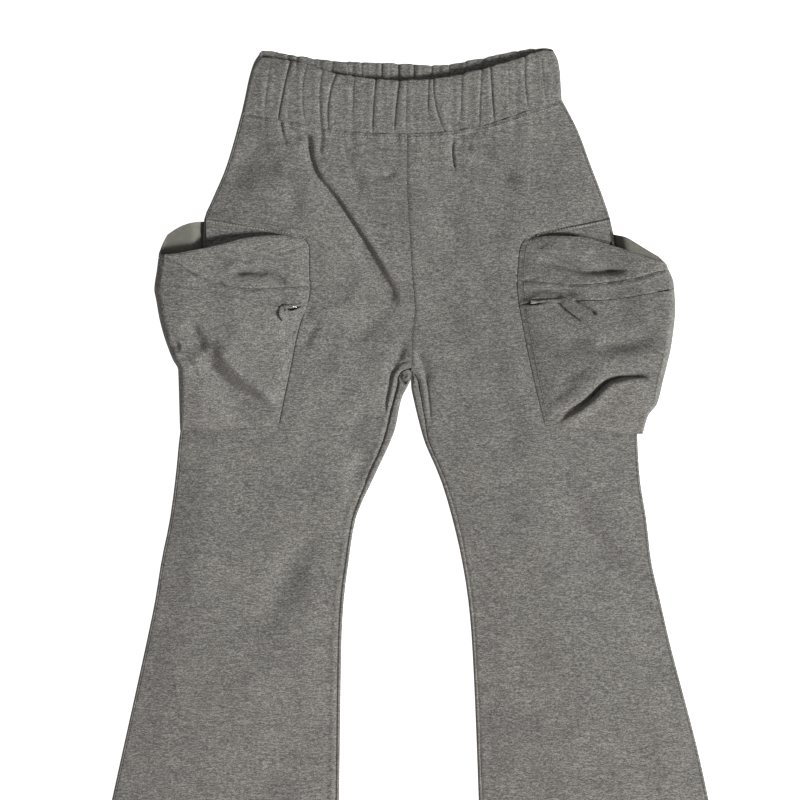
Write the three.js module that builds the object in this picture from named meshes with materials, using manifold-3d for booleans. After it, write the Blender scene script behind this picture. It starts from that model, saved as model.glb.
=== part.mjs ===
// Flared fleece sweatpants laid flat on their back panels: an elastic waistband, two front and two
// back panels, and a deep zipped bag pocket folded round each side seam.
// Millimetres, +Z up, +Y towards the waist. "left" and "right" are the sides seen from above.
// Every cloth piece is a wall: a grid of points on its outer face and the same grid moved inwards.
import * as THREE from 'three';
import Module from 'manifold-3d';

// ---- driving sizes ----
const FLEECE = 2; // panel and pocket wall
const BAND_WALL = 3; // waistband: two layers with the elastic between them
const SEAM_GAP = 0.3; // between neighbouring pieces
const LAID_HALF = 3.5; // half the thickness of the laid tube, folds included
const BAND_HALF = 4.5; // the same at the waistband
const POCKET_LIFT = FLEECE + 0.7; // how far the legs lie above the floor over the pocket backs
const SIDE_ROLL = 6; // the side seams sit this far in from the folded edge
const HEM_DOWN = 1100; // from the top of the waist to the hem
const RISE_FADE = 125; // below the waist seam the rows straighten out over this length
const ROW_START = 62; // nominal height of the waist seam
const LIFT_RUN = 30; // length over which the legs come down to the floor again
const FRONT_COLUMNS = 9;
const UNDER_COLUMNS = 8;
const FOLD_COLUMNS = 5;
const SEAM_STEP = 0.2; // between the last two columns at the centre back seam
const CROTCH_TURN = 14; // degrees that the seam edge is ahead of the fold at the crotch

// ---- waist: heights down from the top, across the width ----
const WAIST = [
  { x: -184, frontTop: 13, frontSeam: 69, backTop: 8, backSeam: 69 },
  { x: -161, frontTop: 9, frontSeam: 74, backTop: 1, backSeam: 70 },
  { x: -120, frontTop: 14, frontSeam: 82, backTop: 7, backSeam: 72 },
  { x: -78, frontTop: 25, frontSeam: 90, backTop: 13, backSeam: 74 },
  { x: -10, frontTop: 32, frontSeam: 93.5, backTop: 15, backSeam: 76 },
  { x: 30, frontTop: 30, frontSeam: 92, backTop: 17, backSeam: 75 },
  { x: 78, frontTop: 21, frontSeam: 85, backTop: 10, backSeam: 69 },
  { x: 122, frontTop: 9, frontSeam: 71, backTop: 1, backSeam: 63 },
  { x: 150, frontTop: 1, frontSeam: 61, backTop: -2, backSeam: 58 },
  { x: 168, frontTop: 11, frontSeam: 55, backTop: 5, backSeam: 55 },
];

// ---- waistband edges: share of its height against the folded sides ----
const BAND_SIDES = [
  { share: 0, left: -165, right: 159 },
  { share: 0.12, left: -170, right: 163 },
  { share: 0.4, left: -176, right: 166 },
  { share: 0.7, left: -180, right: 167 },
  { share: 1, left: -184, right: 168 },
];

// ---- hips: folded sides and the centre seam ----
const HIPS = [
  { down: 62, left: 184, right: 168, centre: -2 },
  { down: 94, left: 192, right: 185.5, centre: -2 },
  { down: 127, left: 201.5, right: 198.5, centre: -2 },
  { down: 165, left: 216.5, right: 213.5, centre: -1 },
  { down: 187, left: 225, right: 221, centre: 0 },
  { down: 221, left: 227, right: 228, centre: 2 },
  { down: 253, left: 234, right: 236, centre: 4 },
  { down: 285, left: 239.5, right: 240, centre: 6.5 },
  { down: 319, left: 245, right: 244, centre: 3 },
  { down: 340, left: 247, right: 246.5, centre: 3 },
];

// ---- legs: distance of both folded edges from the middle line, how far the inside leg seam
// has turned round the fold, and where it then lies on the front ----
const LEFT_LEG = [
  { down: 346, outer: 247.5, inner: -2.85, turn: 0.5, roll: 3.2 },
  { down: 352, outer: 248, inner: -2.5, turn: 1, roll: 4.6 },
  { down: 362, outer: 248.5, inner: -0.5, turn: 1, roll: 13 },
  { down: 385, outer: 249, inner: 9, turn: 1, roll: 9.5 },
  { down: 417, outer: 250, inner: 15.2, turn: 1, roll: 8.8 },
  { down: 429, outer: 253, inner: 20, turn: 1, roll: 8.6 },
  { down: 473, outer: 257, inner: 40, turn: 1, roll: 7 },
  { down: 517, outer: 263, inner: 59, turn: 1, roll: 4.2 },
  { down: 561, outer: 272, inner: 66, turn: 1, roll: 4.2 },
  { down: 605, outer: 279, inner: 71.5, turn: 1, roll: 4.2 },
  { down: 649, outer: 288, inner: 74, turn: 1, roll: 4.2 },
  { down: 781, outer: 317, inner: 76, turn: 1, roll: 4.2 },
  { down: 940, outer: 352, inner: 78, turn: 1, roll: 4.2 },
  { down: HEM_DOWN, outer: 388, inner: 80, turn: 1, roll: 4.2 },
];
const RIGHT_LEG = [
  { down: 346, outer: 247, inner: 3.15, turn: 0.5, roll: 3.2 },
  { down: 352, outer: 247.5, inner: 3, turn: 1, roll: 4.6 },
  { down: 362, outer: 248.5, inner: 1.5, turn: 1, roll: 8 },
  { down: 385, outer: 249.5, inner: 4, turn: 1, roll: 10 },
  { down: 407, outer: 250.5, inner: 10, turn: 1, roll: 8 },
  { down: 429, outer: 251, inner: 16.5, turn: 1, roll: 5.5 },
  { down: 473, outer: 254, inner: 35, turn: 1, roll: 5.5 },
  { down: 517, outer: 261, inner: 48, turn: 1, roll: 6 },
  { down: 561, outer: 266, inner: 58, turn: 1, roll: 5 },
  { down: 605, outer: 276, inner: 65, turn: 1, roll: 4.2 },
  { down: 649, outer: 286, inner: 69, turn: 1, roll: 4.2 },
  { down: 781, outer: 320, inner: 75, turn: 1, roll: 4.2 },
  { down: 940, outer: 352, inner: 80, turn: 1, roll: 4.2 },
  { down: HEM_DOWN, outer: 384, inner: 84, turn: 1, roll: 4.2 },
];

// ---- pockets: the sewn front edge and the outer fold, distances from the middle line ----
const LEFT_FRONT_EDGE = [
  { down: 183, out: 128 },
  { down: 202, out: 124 },
  { down: 209, out: 115.5 },
  { down: 221, out: 110 },
  { down: 272, out: 110 },
  { down: 308, out: 122 },
  { down: 352, out: 131 },
  { down: 420, out: 145 },
];
const RIGHT_FRONT_EDGE = [
  { down: 186, out: 140 },
  { down: 201, out: 136 },
  { down: 211, out: 126.5 },
  { down: 220, out: 122 },
  { down: 256, out: 119 },
  { down: 285, out: 122 },
  { down: 348, out: 134 },
  { down: 424, out: 152 },
];
const LEFT_OUTER_FOLD = [
  { down: 190, out: 270 },
  { down: 203, out: 271 },
  { down: 220, out: 273 },
  { down: 242, out: 276 },
  { down: 264, out: 279 },
  { down: 275, out: 277 },
  { down: 297, out: 273 },
  { down: 319, out: 267 },
  { down: 341, out: 258.5 },
  { down: 352, out: 253.2 },
  { down: 420, out: 252.7 },
];
const RIGHT_OUTER_FOLD = [
  { down: 205, out: 277 },
  { down: 218, out: 278 },
  { down: 234, out: 281 },
  { down: 258, out: 290 },
  { down: 284, out: 291.5 },
  { down: 320, out: 288 },
  { down: 365, out: 278 },
  { down: 389, out: 272 },
  { down: 403, out: 262 },
  { down: 424, out: 256.5 },
];

// ---- pockets: height down of each edge or seam at stations round the bag ----
// front to rim lie on the front, fold is the outer fold, turn to back lie on the hidden side
const LEFT_STATIONS = [
  { name: 'front', at: 0, mouth: 209, seam: 260, zip: 282, foot: 413 },
  { name: 'near', at: 0.4, mouth: 204.6, seam: 262, zip: 283, foot: 414 },
  { name: 'third', at: 1.1, mouth: 208, seam: 263.5, zip: 276, foot: 416 },
  { name: 'middle', at: 1.6, mouth: 214.5, seam: 258, zip: 270, foot: 417 },
  { name: 'far', at: 2.1, mouth: 221, seam: 247, zip: 264, foot: 418 },
  { name: 'rim', at: 2.67, mouth: 226, seam: 230, zip: 260, foot: 418.5 },
  { name: 'fold', at: 3, mouth: 224, seam: 229.5, zip: 259, foot: 418.5 },
  { name: 'turn', at: 3.33, mouth: 203.5, seam: 229, zip: 260, foot: 418 },
  { name: 'backRim', at: 3.7, mouth: 192.3, seam: 231, zip: 261, foot: 418 },
  { name: 'backFar', at: 4, mouth: 189, seam: 233, zip: 262, foot: 418 },
  { name: 'backMiddle', at: 5, mouth: 187, seam: 243, zip: 268, foot: 416 },
  { name: 'back', at: 6, mouth: 200, seam: 250, zip: 272, foot: 413 },
];
const RIGHT_STATIONS = [
  { name: 'front', at: 0, mouth: 209, seam: 254, zip: 281, foot: 413 },
  { name: 'near', at: 0.4, mouth: 205.3, seam: 256, zip: 277.2, foot: 414.5 },
  { name: 'third', at: 1.1, mouth: 206.5, seam: 259, zip: 276.7, foot: 417 },
  { name: 'middle', at: 1.6, mouth: 213.3, seam: 256.5, zip: 275.5, foot: 419 },
  { name: 'far', at: 2.1, mouth: 222, seam: 252, zip: 271.5, foot: 421 },
  { name: 'rim', at: 2.67, mouth: 233.5, seam: 244, zip: 265, foot: 422.5 },
  { name: 'fold', at: 3, mouth: 236, seam: 242, zip: 261.5, foot: 422.5 },
  { name: 'turn', at: 3.33, mouth: 227, seam: 242, zip: 262, foot: 422 },
  { name: 'backRim', at: 3.7, mouth: 214.5, seam: 244, zip: 263.5, foot: 421.5 },
  { name: 'backFar', at: 4, mouth: 206, seam: 246, zip: 265, foot: 421 },
  { name: 'backMiddle', at: 5, mouth: 196, seam: 250, zip: 269, foot: 418 },
  { name: 'back', at: 6, mouth: 205, seam: 252, zip: 272, foot: 414 },
];

// ---- pockets: how high the bag stands above the leg, down its length ----
const LEFT_PUFF = [
  { down: 205, high: 15 },
  { down: 232, high: 17 },
  { down: 262, high: 20 },
  { down: 300, high: 24 },
  { down: 335, high: 22 },
  { down: 365, high: 15 },
  { down: 395, high: 8 },
  { down: 418, high: 0 },
];
const RIGHT_PUFF = [
  { down: 205, high: 14 },
  { down: 240, high: 18 },
  { down: 270, high: 21 },
  { down: 320, high: 25 },
  { down: 360, high: 22 },
  { down: 390, high: 14 },
  { down: 408, high: 6 },
  { down: 422, high: 0 },
];
// how much of that height the bag has across its front, from its sewn edge to its outer fold
const PUFF_ACROSS = [
  { share: 0, high: 0 }, { share: 0.15, high: 0.2 }, { share: 0.4, high: 0.47 },
  { share: 0.65, high: 0.74 }, { share: 0.85, high: 0.93 }, { share: 1, high: 0.9 },
];
const FOLD_REACH = 13; // depth of the rounded outer fold
const FOLD_SHARE = 0.36; // and the most of the bag's height that it may take
const FRONT_SHARES = [0, 0.06, 0.13, 0.22, 0.34, 0.48, 0.64, 0.82, 1]; // columns on the front
const BACK_SHARES = [1, 0.93, 0.85, 0.75, 0.5, 0.25, 0]; // and on the back
const FRONT_STATIONS = 2.67; // stations reached where the outer fold begins
const BACK_STATIONS = 3.33; // and where it ends
const POCKET_FOLD_COLUMNS = 6;
const FACING_TUCK = 9; // the facing runs this far on under the bag's lip
const FACING_START = 3; // in from the sewn front edge
const FACING_SEWN = 203; // its top edge there
const FACING_SLANT = 18; // and how much higher it is at the side
const FACING_FREE = 0.3; // share of its length over which it only meets the lip
const MOUTH_DOWN = 210; // height at which the mouth's stations are counted

// ---- zip: tape, slider and cloth pull ----
const TAPE_WIDE = 18;
const TAPE_THICK = 1;
const TAPE_DROP = 1; // below the lips
const TAPE_SHARES = [0.075, 0.13, 0.22, 0.34, 0.48, 0.64, 0.82, 0.95];
const LEFT_SLIT = [
  { share: 0, open: 0 },
  { share: 0.06, open: 5.4 },
  { share: 0.13, open: 5.4 },
  { share: 0.22, open: 0 },
];
const RIGHT_SLIT = [
  { share: 0, open: 0 },
  { share: 0.06, open: 5.4 },
  { share: 0.13, open: 5.4 },
  { share: 0.22, open: 3 },
  { share: 0.34, open: 0 },
];
const SLIDER = { long: 8, wide: 4, high: 2.6 };
const BAIL = { long: 4, wide: 2.2, high: 2.2, bar: 0.8 };
const PULL_THICK = 1.8;

const SIDES = [
  {
    name: 'left', sign: -1, leg: LEFT_LEG, frontEdge: LEFT_FRONT_EDGE, outerFold: LEFT_OUTER_FOLD,
    stations: LEFT_STATIONS, puff: LEFT_PUFF, slit: LEFT_SLIT, slider: { share: 0.098 },
    pull: [
      { along: 0, drop: 0, wide: 2, rise: 0 },
      { along: 4.4, drop: 0.6, wide: 4, rise: 0.6 },
      { along: 8, drop: 3.6, wide: 8, rise: 0.8 },
      { along: 7.6, drop: 8.4, wide: 9, rise: 0.8 },
      { along: 4, drop: 14.5, wide: 8, rise: 0.8 },
    ],
  },
  {
    name: 'right', sign: 1, leg: RIGHT_LEG, frontEdge: RIGHT_FRONT_EDGE, outerFold: RIGHT_OUTER_FOLD,
    stations: RIGHT_STATIONS, puff: RIGHT_PUFF, slit: RIGHT_SLIT, slider: { share: 0.098 },
    pull: [
      { along: 0, drop: 0, wide: 2, rise: 0 },
      { along: 14, drop: -1.2, wide: 3, rise: 0.6 },
      { along: 26, drop: -1.4, wide: 5, rise: 0.8 },
      { along: 32, drop: -0.6, wide: 12.6, rise: 0.8 },
      { along: 44, drop: 7.8, wide: 15, rise: 0.8 },
      { along: 56.6, drop: 16.8, wide: 15.4, rise: 0.8 },
    ],
  },
];

// ---- colours ----
const HEATHER = { color: 0x7a7974, roughness: 0.95, metalness: 0 };
const TAPE_GREY = { color: 0x4c4b48, roughness: 0.9, metalness: 0 };
const NICKEL = { color: 0xb9bab8, roughness: 0.35, metalness: 1 };

const group = new THREE.Group();

// ---- tables ----
function readTable(table, key, column, at) {
  const last = table.length - 1;
  if (at <= table[0][key]) return table[0][column];
  for (let i = 0; i < last; i += 1) {
    const a = table[i];
    const b = table[i + 1];
    if (at <= b[key]) {
      return a[column] + ((b[column] - a[column]) * (at - a[key])) / (b[key] - a[key]);
    }
  }
  return table[last][column];
}

function smooth(value) {
  const t = Math.min(1, Math.max(0, value));
  return t * t * (3 - 2 * t);
}

function signedVolume(positions, index) {
  let sum = 0;
  const [a, b, c] = [new THREE.Vector3(), new THREE.Vector3(), new THREE.Vector3()];
  for (let i = 0; i < index.length; i += 3) {
    a.fromArray(positions, index[i] * 3);
    b.fromArray(positions, index[i + 1] * 3);
    c.fromArray(positions, index[i + 2] * 3);
    sum += a.dot(b.cross(c)) / 6;
  }
  return sum;
}

// ---- a cloth piece: rows of points on the outer face (inset 0) and the inner face ----
function addPiece(name, rows, columns, look, pointAt) {
  const positions = [];
  for (const inner of [false, true]) {
    for (let r = 0; r < rows; r += 1) {
      for (let c = 0; c < columns; c += 1) {
        const p = pointAt(r, c, inner);
        positions.push(p.x, -p.down, p.z);
      }
    }
  }
  const index = [];
  const count = rows * columns;
  const quad = (a, b, c, d) => index.push(a, b, c, a, c, d);
  for (let r = 0; r + 1 < rows; r += 1) {
    for (let c = 0; c + 1 < columns; c += 1) {
      const a = r * columns + c;
      quad(a, a + columns, a + columns + 1, a + 1);
      quad(count + a, count + a + 1, count + a + columns + 1, count + a + columns);
    }
  }
  for (let c = 0; c + 1 < columns; c += 1) {
    const low = (rows - 1) * columns + c;
    quad(c, c + 1, count + c + 1, count + c);
    quad(low + 1, low, count + low, count + low + 1);
  }
  for (let r = 0; r + 1 < rows; r += 1) {
    const a = r * columns;
    const b = a + columns - 1;
    quad(a + columns, a, count + a, count + a + columns);
    quad(b, b + columns, count + b + columns, count + b);
  }
  if (signedVolume(positions, index) < 0) index.reverse();
  const geometry = new THREE.BufferGeometry();
  geometry.setAttribute('position', new THREE.Float32BufferAttribute(positions, 3));
  geometry.setIndex(index);
  geometry.computeVertexNormals();
  const mesh = new THREE.Mesh(geometry, new THREE.MeshStandardMaterial(look));
  mesh.name = name;
  group.add(mesh);
  return mesh;
}

// ---- how far the legs are lifted by the pocket backs beneath them ----
function liftAt(side, out, down) {
  const edge = readTable(side.frontEdge, 'down', 'out', down);
  const across = smooth((out - (edge - LIFT_RUN - 14)) / LIFT_RUN);
  const into = smooth((down - 132) / LIFT_RUN);
  const outOf = smooth((down - 430) / LIFT_RUN);
  return POCKET_LIFT * across * into * (1 - outOf);
}

function waistShift(side, out, back) {
  return readTable(WAIST, 'x', back ? 'backSeam' : 'frontSeam', side.sign * out) - ROW_START;
}

// ---- rows of one half: both edges of the laid tube at each height ----
function halfRows(side) {
  const hips = HIPS.map((row) => ({
    down: row.down,
    outer: row[side.name],
    inner: side.sign * row.centre + SEAM_GAP / 2,
    turn: 0,
    roll: 0,
  }));
  return hips.concat(side.leg);
}

// a row's height bends with the waist seam near the top and straightens out below it
function rowDown(side, row, out, back) {
  const fade = Math.max(0, 1 - (row.down - ROW_START) / RISE_FADE);
  const seam = row.down === ROW_START ? SEAM_GAP / 2 : 0;
  return row.down + waistShift(side, out, back) * fade + seam;
}

function placed(side, row, out, height, back) {
  const down = rowDown(side, row, out, back);
  return { x: side.sign * out, down, z: LAID_HALF + liftAt(side, out, down) + height };
}

function addFront(side) {
  const rows = halfRows(side);
  addPiece(`front_${side.name}`, rows.length, FRONT_COLUMNS, HEATHER, (r, c, inner) => {
    const row = rows[r];
    const share = c / (FRONT_COLUMNS - 1);
    const from = row.inner + row.roll;
    const to = row.outer - SIDE_ROLL;
    const out = from + (to - from) * share;
    return placed(side, row, out, LAID_HALF - (inner ? FLEECE : 0), false);
  });
}

// the back panel starts on the front at the side seam, goes round the outer fold, under, and round
// the inner fold back up to the inside leg seam; above the crotch it stops at the centre back seam
function backPath(row) {
  const path = [];
  path.push({ out: row.outer - SIDE_ROLL + SEAM_GAP, angle: 90, flat: true });
  for (let i = 0; i < FOLD_COLUMNS; i += 1) {
    path.push({ out: row.outer - LAID_HALF, angle: 90 - (180 * i) / (FOLD_COLUMNS - 1), side: 1 });
  }
  for (let i = 1; i < UNDER_COLUMNS; i += 1) {
    const share = i / UNDER_COLUMNS;
    const from = row.outer - LAID_HALF;
    const to = row.inner + LAID_HALF;
    path.push({ out: from + (to - from) * share, angle: -90, flat: true });
  }
  for (let i = 0; i < FOLD_COLUMNS; i += 1) {
    const share = i / (FOLD_COLUMNS - 1);
    if (row.turn === 0) {
      const out = row.inner + SEAM_STEP + (LAID_HALF - SEAM_STEP) * (1 - share);
      path.push({ out, angle: -90, flat: true });
    } else {
      path.push({ out: row.inner + LAID_HALF, angle: -90 + 180 * row.turn * share, side: -1 });
    }
  }
  if (row.turn === 1) {
    path.push({ out: row.inner + row.roll - SEAM_GAP, angle: 90, flat: true });
  } else if (row.turn === 0) {
    path.push({ out: row.inner, angle: -90, flat: true });
  } else {
    path.push({ out: row.inner + LAID_HALF, angle: -90 + 180 * row.turn + CROTCH_TURN, side: -1 });
  }
  return path;
}

function addBack(side) {
  const rows = halfRows(side);
  const paths = rows.map(backPath);
  const columns = paths[0].length;
  addPiece(`back_${side.name}`, rows.length, columns, HEATHER, (r, c, inner) => {
    const spot = paths[r][c];
    const radius = LAID_HALF - (inner ? FLEECE : 0);
    const angle = THREE.MathUtils.degToRad(spot.angle);
    const reach = spot.flat ? 0 : spot.side * Math.cos(angle) * radius;
    const under = spot.angle < 45 && c > 2;
    return placed(side, rows[r], spot.out + reach, Math.sin(angle) * radius, under);
  });
}

// ---- waistband: one strip from the centre back right round to the centre back ----
// its columns stand over those of the panels, so both sides of the waist seam run alike
function bandStops() {
  const half = [];
  for (let i = 0; i < UNDER_COLUMNS; i += 1) {
    half.push({ part: 'back', share: i / UNDER_COLUMNS, angle: -90 });
  }
  for (let i = 0; i < FOLD_COLUMNS; i += 1) {
    half.push({ part: 'fold', share: 1, angle: -90 + (180 * i) / (FOLD_COLUMNS - 1) });
  }
  for (let i = FRONT_COLUMNS - 1; i > 0; i -= 1) {
    half.push({ part: 'front', share: i / (FRONT_COLUMNS - 1), angle: 90 });
  }
  const right = half.map((stop) => ({ ...stop, side: 1 }));
  const left = half.map((stop) => ({ ...stop, side: -1 })).reverse();
  return [...right, { part: 'front', share: 0, angle: 90, side: 1 }, ...left];
}

function addWaistband() {
  const stops = bandStops();
  const middle = HIPS[0].centre;
  addPiece('waistband', BAND_SIDES.length, stops.length, HEATHER, (r, c, inner) => {
    const row = BAND_SIDES[r];
    const stop = stops[c];
    const radius = BAND_HALF - (inner ? BAND_WALL : 0);
    const angle = THREE.MathUtils.degToRad(stop.angle);
    const edge = stop.side > 0 ? row.right : -row.left;
    const inset = stop.part === 'front' ? SIDE_ROLL : BAND_HALF;
    const gap = stop.part === 'back' && stop.share === 0 ? SEAM_GAP / 2 : 0;
    let out = stop.side * middle + (edge - inset - stop.side * middle) * stop.share + gap;
    if (stop.part === 'fold') out += Math.cos(angle) * radius;
    const x = stop.side * out;
    const front = (Math.sin(angle) + 1) / 2;
    const at = (column) => readTable(WAIST, 'x', column, x);
    const top = at('frontTop') * front + at('backTop') * (1 - front);
    const seam = at('frontSeam') * front + at('backSeam') * (1 - front);
    const down = top + (seam - SEAM_GAP - top) * row.share;
    return { x, down, z: BAND_HALF + Math.sin(angle) * radius };
  });
}

// ---- pocket bag: rows between two levels, columns round the bag ----
function pocketStops() {
  const stops = FRONT_SHARES.map((share) => (
    { part: 'front', share, station: share * FRONT_STATIONS }
  ));
  for (let i = 1; i < POCKET_FOLD_COLUMNS; i += 1) {
    const turn = i / POCKET_FOLD_COLUMNS;
    const station = FRONT_STATIONS + turn * (BACK_STATIONS - FRONT_STATIONS);
    stops.push({ part: 'fold', turn, station });
  }
  for (const share of BACK_SHARES) {
    stops.push({ part: 'back', share, station: BACK_STATIONS + (1 - share) * FRONT_STATIONS });
  }
  return stops;
}

function levelDown(side, level, station) {
  return readTable(side.stations, 'at', level, station);
}

function bagHeight(side, down, share) {
  return readTable(side.puff, 'down', 'high', down) * readTable(PUFF_ACROSS, 'share', 'high', share);
}

// outer face of the bag on its front, over the leg or beyond its edge
function bagTop(side, out, down, share) {
  const leg = 2 * LAID_HALF + liftAt(side, out, down);
  return leg + SEAM_GAP + FLEECE + bagHeight(side, down, share);
}

// where the front of the bag begins to turn round its outer fold
function rimAt(side, down) {
  const fold = readTable(side.outerFold, 'down', 'out', down);
  return fold - Math.min(FOLD_REACH, FOLD_SHARE * bagTop(side, fold, down, 1));
}

function bagPoint(side, stop, down, inset) {
  const edge = readTable(side.frontEdge, 'down', 'out', down);
  const fold = readTable(side.outerFold, 'down', 'out', down);
  const rim = rimAt(side, down);
  if (stop.part === 'front') {
    const out = edge + (rim - edge) * stop.share;
    return { x: side.sign * out, down, z: bagTop(side, out, down, stop.share) - inset };
  }
  const top = bagTop(side, rim, down, 1);
  if (stop.part === 'fold') {
    const angle = Math.PI * (0.5 - stop.turn);
    const out = rim + Math.cos(angle) * (fold - rim - inset);
    return { x: side.sign * out, down, z: top / 2 + Math.sin(angle) * (top / 2 - inset) };
  }
  return { x: side.sign * (edge + (rim - edge) * stop.share), down, z: inset };
}

// the lips of the zip stand open beside the slider
function slitAt(side, stop) {
  return stop.part === 'front' ? readTable(side.slit, 'share', 'open', stop.share) : 0;
}

// what a piece leaves free along a level: half a seam's gap, and half the slit along the zip
function spareAt(side, level, stop) {
  return SEAM_GAP / 2 + (level === 'zip' ? slitAt(side, stop) / 2 : 0);
}

function addBagPiece(side, piece, from, to, rows) {
  const stops = pocketStops();
  addPiece(`pocket_${side.name}_${piece}`, rows, stops.length, HEATHER, (r, c, inner) => {
    const stop = stops[stops.length - 1 - c];
    const start = levelDown(side, from, stop.station) + spareAt(side, from, stop);
    const end = levelDown(side, to, stop.station) - spareAt(side, to, stop);
    const down = start + ((end - start) * r) / (rows - 1);
    return bagPoint(side, stop, down, inner ? FLEECE : 0);
  });
}

// ---- facing on the leg behind the mouth, up to the top row of stitching ----
function addFacing(side) {
  const columns = 8;
  const rows = 3;
  addPiece(`pocket_${side.name}_facing`, rows, columns, HEATHER, (r, c, inner) => {
    const share = c / (columns - 1);
    const from = readTable(side.frontEdge, 'down', 'out', FACING_SEWN) + FACING_START;
    const to = readTable(HIPS, 'down', side.name, FACING_SEWN) - LAID_HALF;
    const out = from + (to - from) * share;
    const sewn = FACING_SEWN - FACING_SLANT * share;
    const station = shareAt(side, out, MOUTH_DOWN) * FRONT_STATIONS;
    const lip = levelDown(side, 'mouth', station) - 2 * SEAM_GAP;
    const end = lip + FACING_TUCK * smooth((share - FACING_FREE) / FACING_FREE);
    const down = sewn + ((end - sewn) * r) / (rows - 1);
    const z = 2 * LAID_HALF + liftAt(side, out, down) + SEAM_GAP + (inner ? 0 : FLEECE);
    return { x: side.sign * out, down, z };
  });
}

// ---- zip tape inside the bag, just under both lips ----
function addTape(side) {
  addPiece(`pocket_${side.name}_zip_tape`, 3, TAPE_SHARES.length, TAPE_GREY, (r, c, inner) => {
    const stop = { part: 'front', share: TAPE_SHARES[c] };
    const down = levelDown(side, 'zip', stop.share * FRONT_STATIONS) + (r - 1) * (TAPE_WIDE / 2);
    return bagPoint(side, stop, down, FLEECE + TAPE_DROP + (inner ? TAPE_THICK : 0));
  });
}

// ---- solids joined with manifold-3d ----
const wasm = await Module();
wasm.setup();

function asManifold(geometry) {
  const plain = geometry.index ? geometry.toNonIndexed() : geometry;
  const source = plain.getAttribute('position');
  const seen = new Map();
  const points = [];
  const corners = [];
  for (let i = 0; i < source.count; i += 1) {
    const p = [source.getX(i), source.getY(i), source.getZ(i)];
    const key = p.map((value) => value.toFixed(4)).join(' ');
    if (!seen.has(key)) {
      seen.set(key, points.length / 3);
      points.push(...p);
    }
    corners.push(seen.get(key));
  }
  const mesh = new wasm.Mesh({
    numProp: 3,
    vertProperties: new Float32Array(points),
    triVerts: new Uint32Array(corners),
  });
  return new wasm.Manifold(mesh);
}

function block(long, wide, high, x, y, z) {
  return asManifold(new THREE.BoxGeometry(long, wide, high).translate(x, y, z));
}

// slider: a body that narrows to its rear, and a bail over it that holds the pull
function addSlider(side) {
  const outline = new THREE.Shape();
  const reach = SLIDER.long / 2;
  outline.moveTo(-reach, -SLIDER.wide / 2);
  outline.lineTo(reach * 0.6, -SLIDER.wide / 2);
  outline.lineTo(reach, -SLIDER.wide / 3);
  outline.lineTo(reach, SLIDER.wide / 3);
  outline.lineTo(reach * 0.6, SLIDER.wide / 2);
  outline.lineTo(-reach, SLIDER.wide / 2);
  outline.closePath();
  const body = asManifold(new THREE.ExtrudeGeometry(outline, { depth: SLIDER.high, bevelEnabled: false }));
  const bar = BAIL.bar;
  const lift = SLIDER.high + BAIL.high - bar / 2;
  const postAt = BAIL.long / 2 - bar / 2;
  const posts = block(bar, BAIL.wide, BAIL.high, -postAt, 0, SLIDER.high + BAIL.high / 2 - 0.1)
    .add(block(bar, BAIL.wide, BAIL.high, postAt, 0, SLIDER.high + BAIL.high / 2 - 0.1));
  const solid = body.add(posts).add(block(BAIL.long, BAIL.wide, bar, 0, 0, lift - 0.1)).getMesh();
  const geometry = new THREE.BufferGeometry();
  geometry.setAttribute('position', new THREE.Float32BufferAttribute(solid.vertProperties, 3));
  geometry.setIndex(Array.from(solid.triVerts));
  geometry.computeVertexNormals();
  const mesh = new THREE.Mesh(geometry, new THREE.MeshStandardMaterial(NICKEL));
  mesh.name = `pocket_${side.name}_zip_slider`;
  const spot = sliderSpot(side);
  mesh.position.set(side.sign * spot.out, -spot.down, spot.base);
  group.add(mesh);
}

function shareAt(side, out, down) {
  const edge = readTable(side.frontEdge, 'down', 'out', down);
  return (out - edge) / (rimAt(side, down) - edge);
}

function sliderSpot(side) {
  const { share } = side.slider;
  const down = levelDown(side, 'zip', share * FRONT_STATIONS);
  const edge = readTable(side.frontEdge, 'down', 'out', down);
  const out = edge + (rimAt(side, down) - edge) * share;
  const reach = out + SLIDER.long / 2;
  const tape = bagTop(side, reach, down, shareAt(side, reach, down)) - FLEECE - TAPE_DROP;
  return { out, down, base: tape + 2 * SEAM_GAP };
}

// pull: a folded cloth tab that starts at the bail and lies down over the lower piece
function addPull(side) {
  const slider = sliderSpot(side);
  const path = side.pull.map((spot) => ({
    out: slider.out + BAIL.long / 2 + SEAM_GAP + spot.along,
    down: slider.down + spot.drop,
    wide: spot.wide,
    rise: spot.rise,
  }));
  addPiece(`pocket_${side.name}_zip_pull`, path.length, 3, HEATHER, (r, c, inner) => {
    const spot = path[r];
    const before = path[Math.max(0, r - 1)];
    const after = path[Math.min(path.length - 1, r + 1)];
    const run = Math.hypot(after.out - before.out, after.down - before.down);
    const across = (c - 1) * (spot.wide / 2);
    const out = spot.out - (across * (after.down - before.down)) / run;
    const down = spot.down + (across * (after.out - before.out)) / run;
    const bag = bagTop(side, out, down, shareAt(side, out, down)) + spot.rise;
    const floor = Math.max(bag, slider.base + SLIDER.high + 2 * SEAM_GAP);
    return { x: side.sign * out, down, z: floor + (inner ? 0 : PULL_THICK) };
  });
}

addWaistband();
for (const side of SIDES) {
  addFront(side);
  addBack(side);
  addFacing(side);
  addBagPiece(side, 'upper', 'mouth', 'seam', 4);
  addBagPiece(side, 'middle', 'seam', 'zip', 3);
  addBagPiece(side, 'lower', 'zip', 'foot', 9);
  addTape(side);
  addSlider(side);
  addPull(side);
}

// the origin is the middle of the footprint on the floor
const box = new THREE.Box3().setFromObject(group);
const middle = box.getCenter(new THREE.Vector3());
group.position.set(-middle.x, -middle.y, -box.min.z);

export default group;
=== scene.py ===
"""Flared heather sweatpants laid flat: every cloth piece, the zips, the stitching and the stage."""

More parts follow.
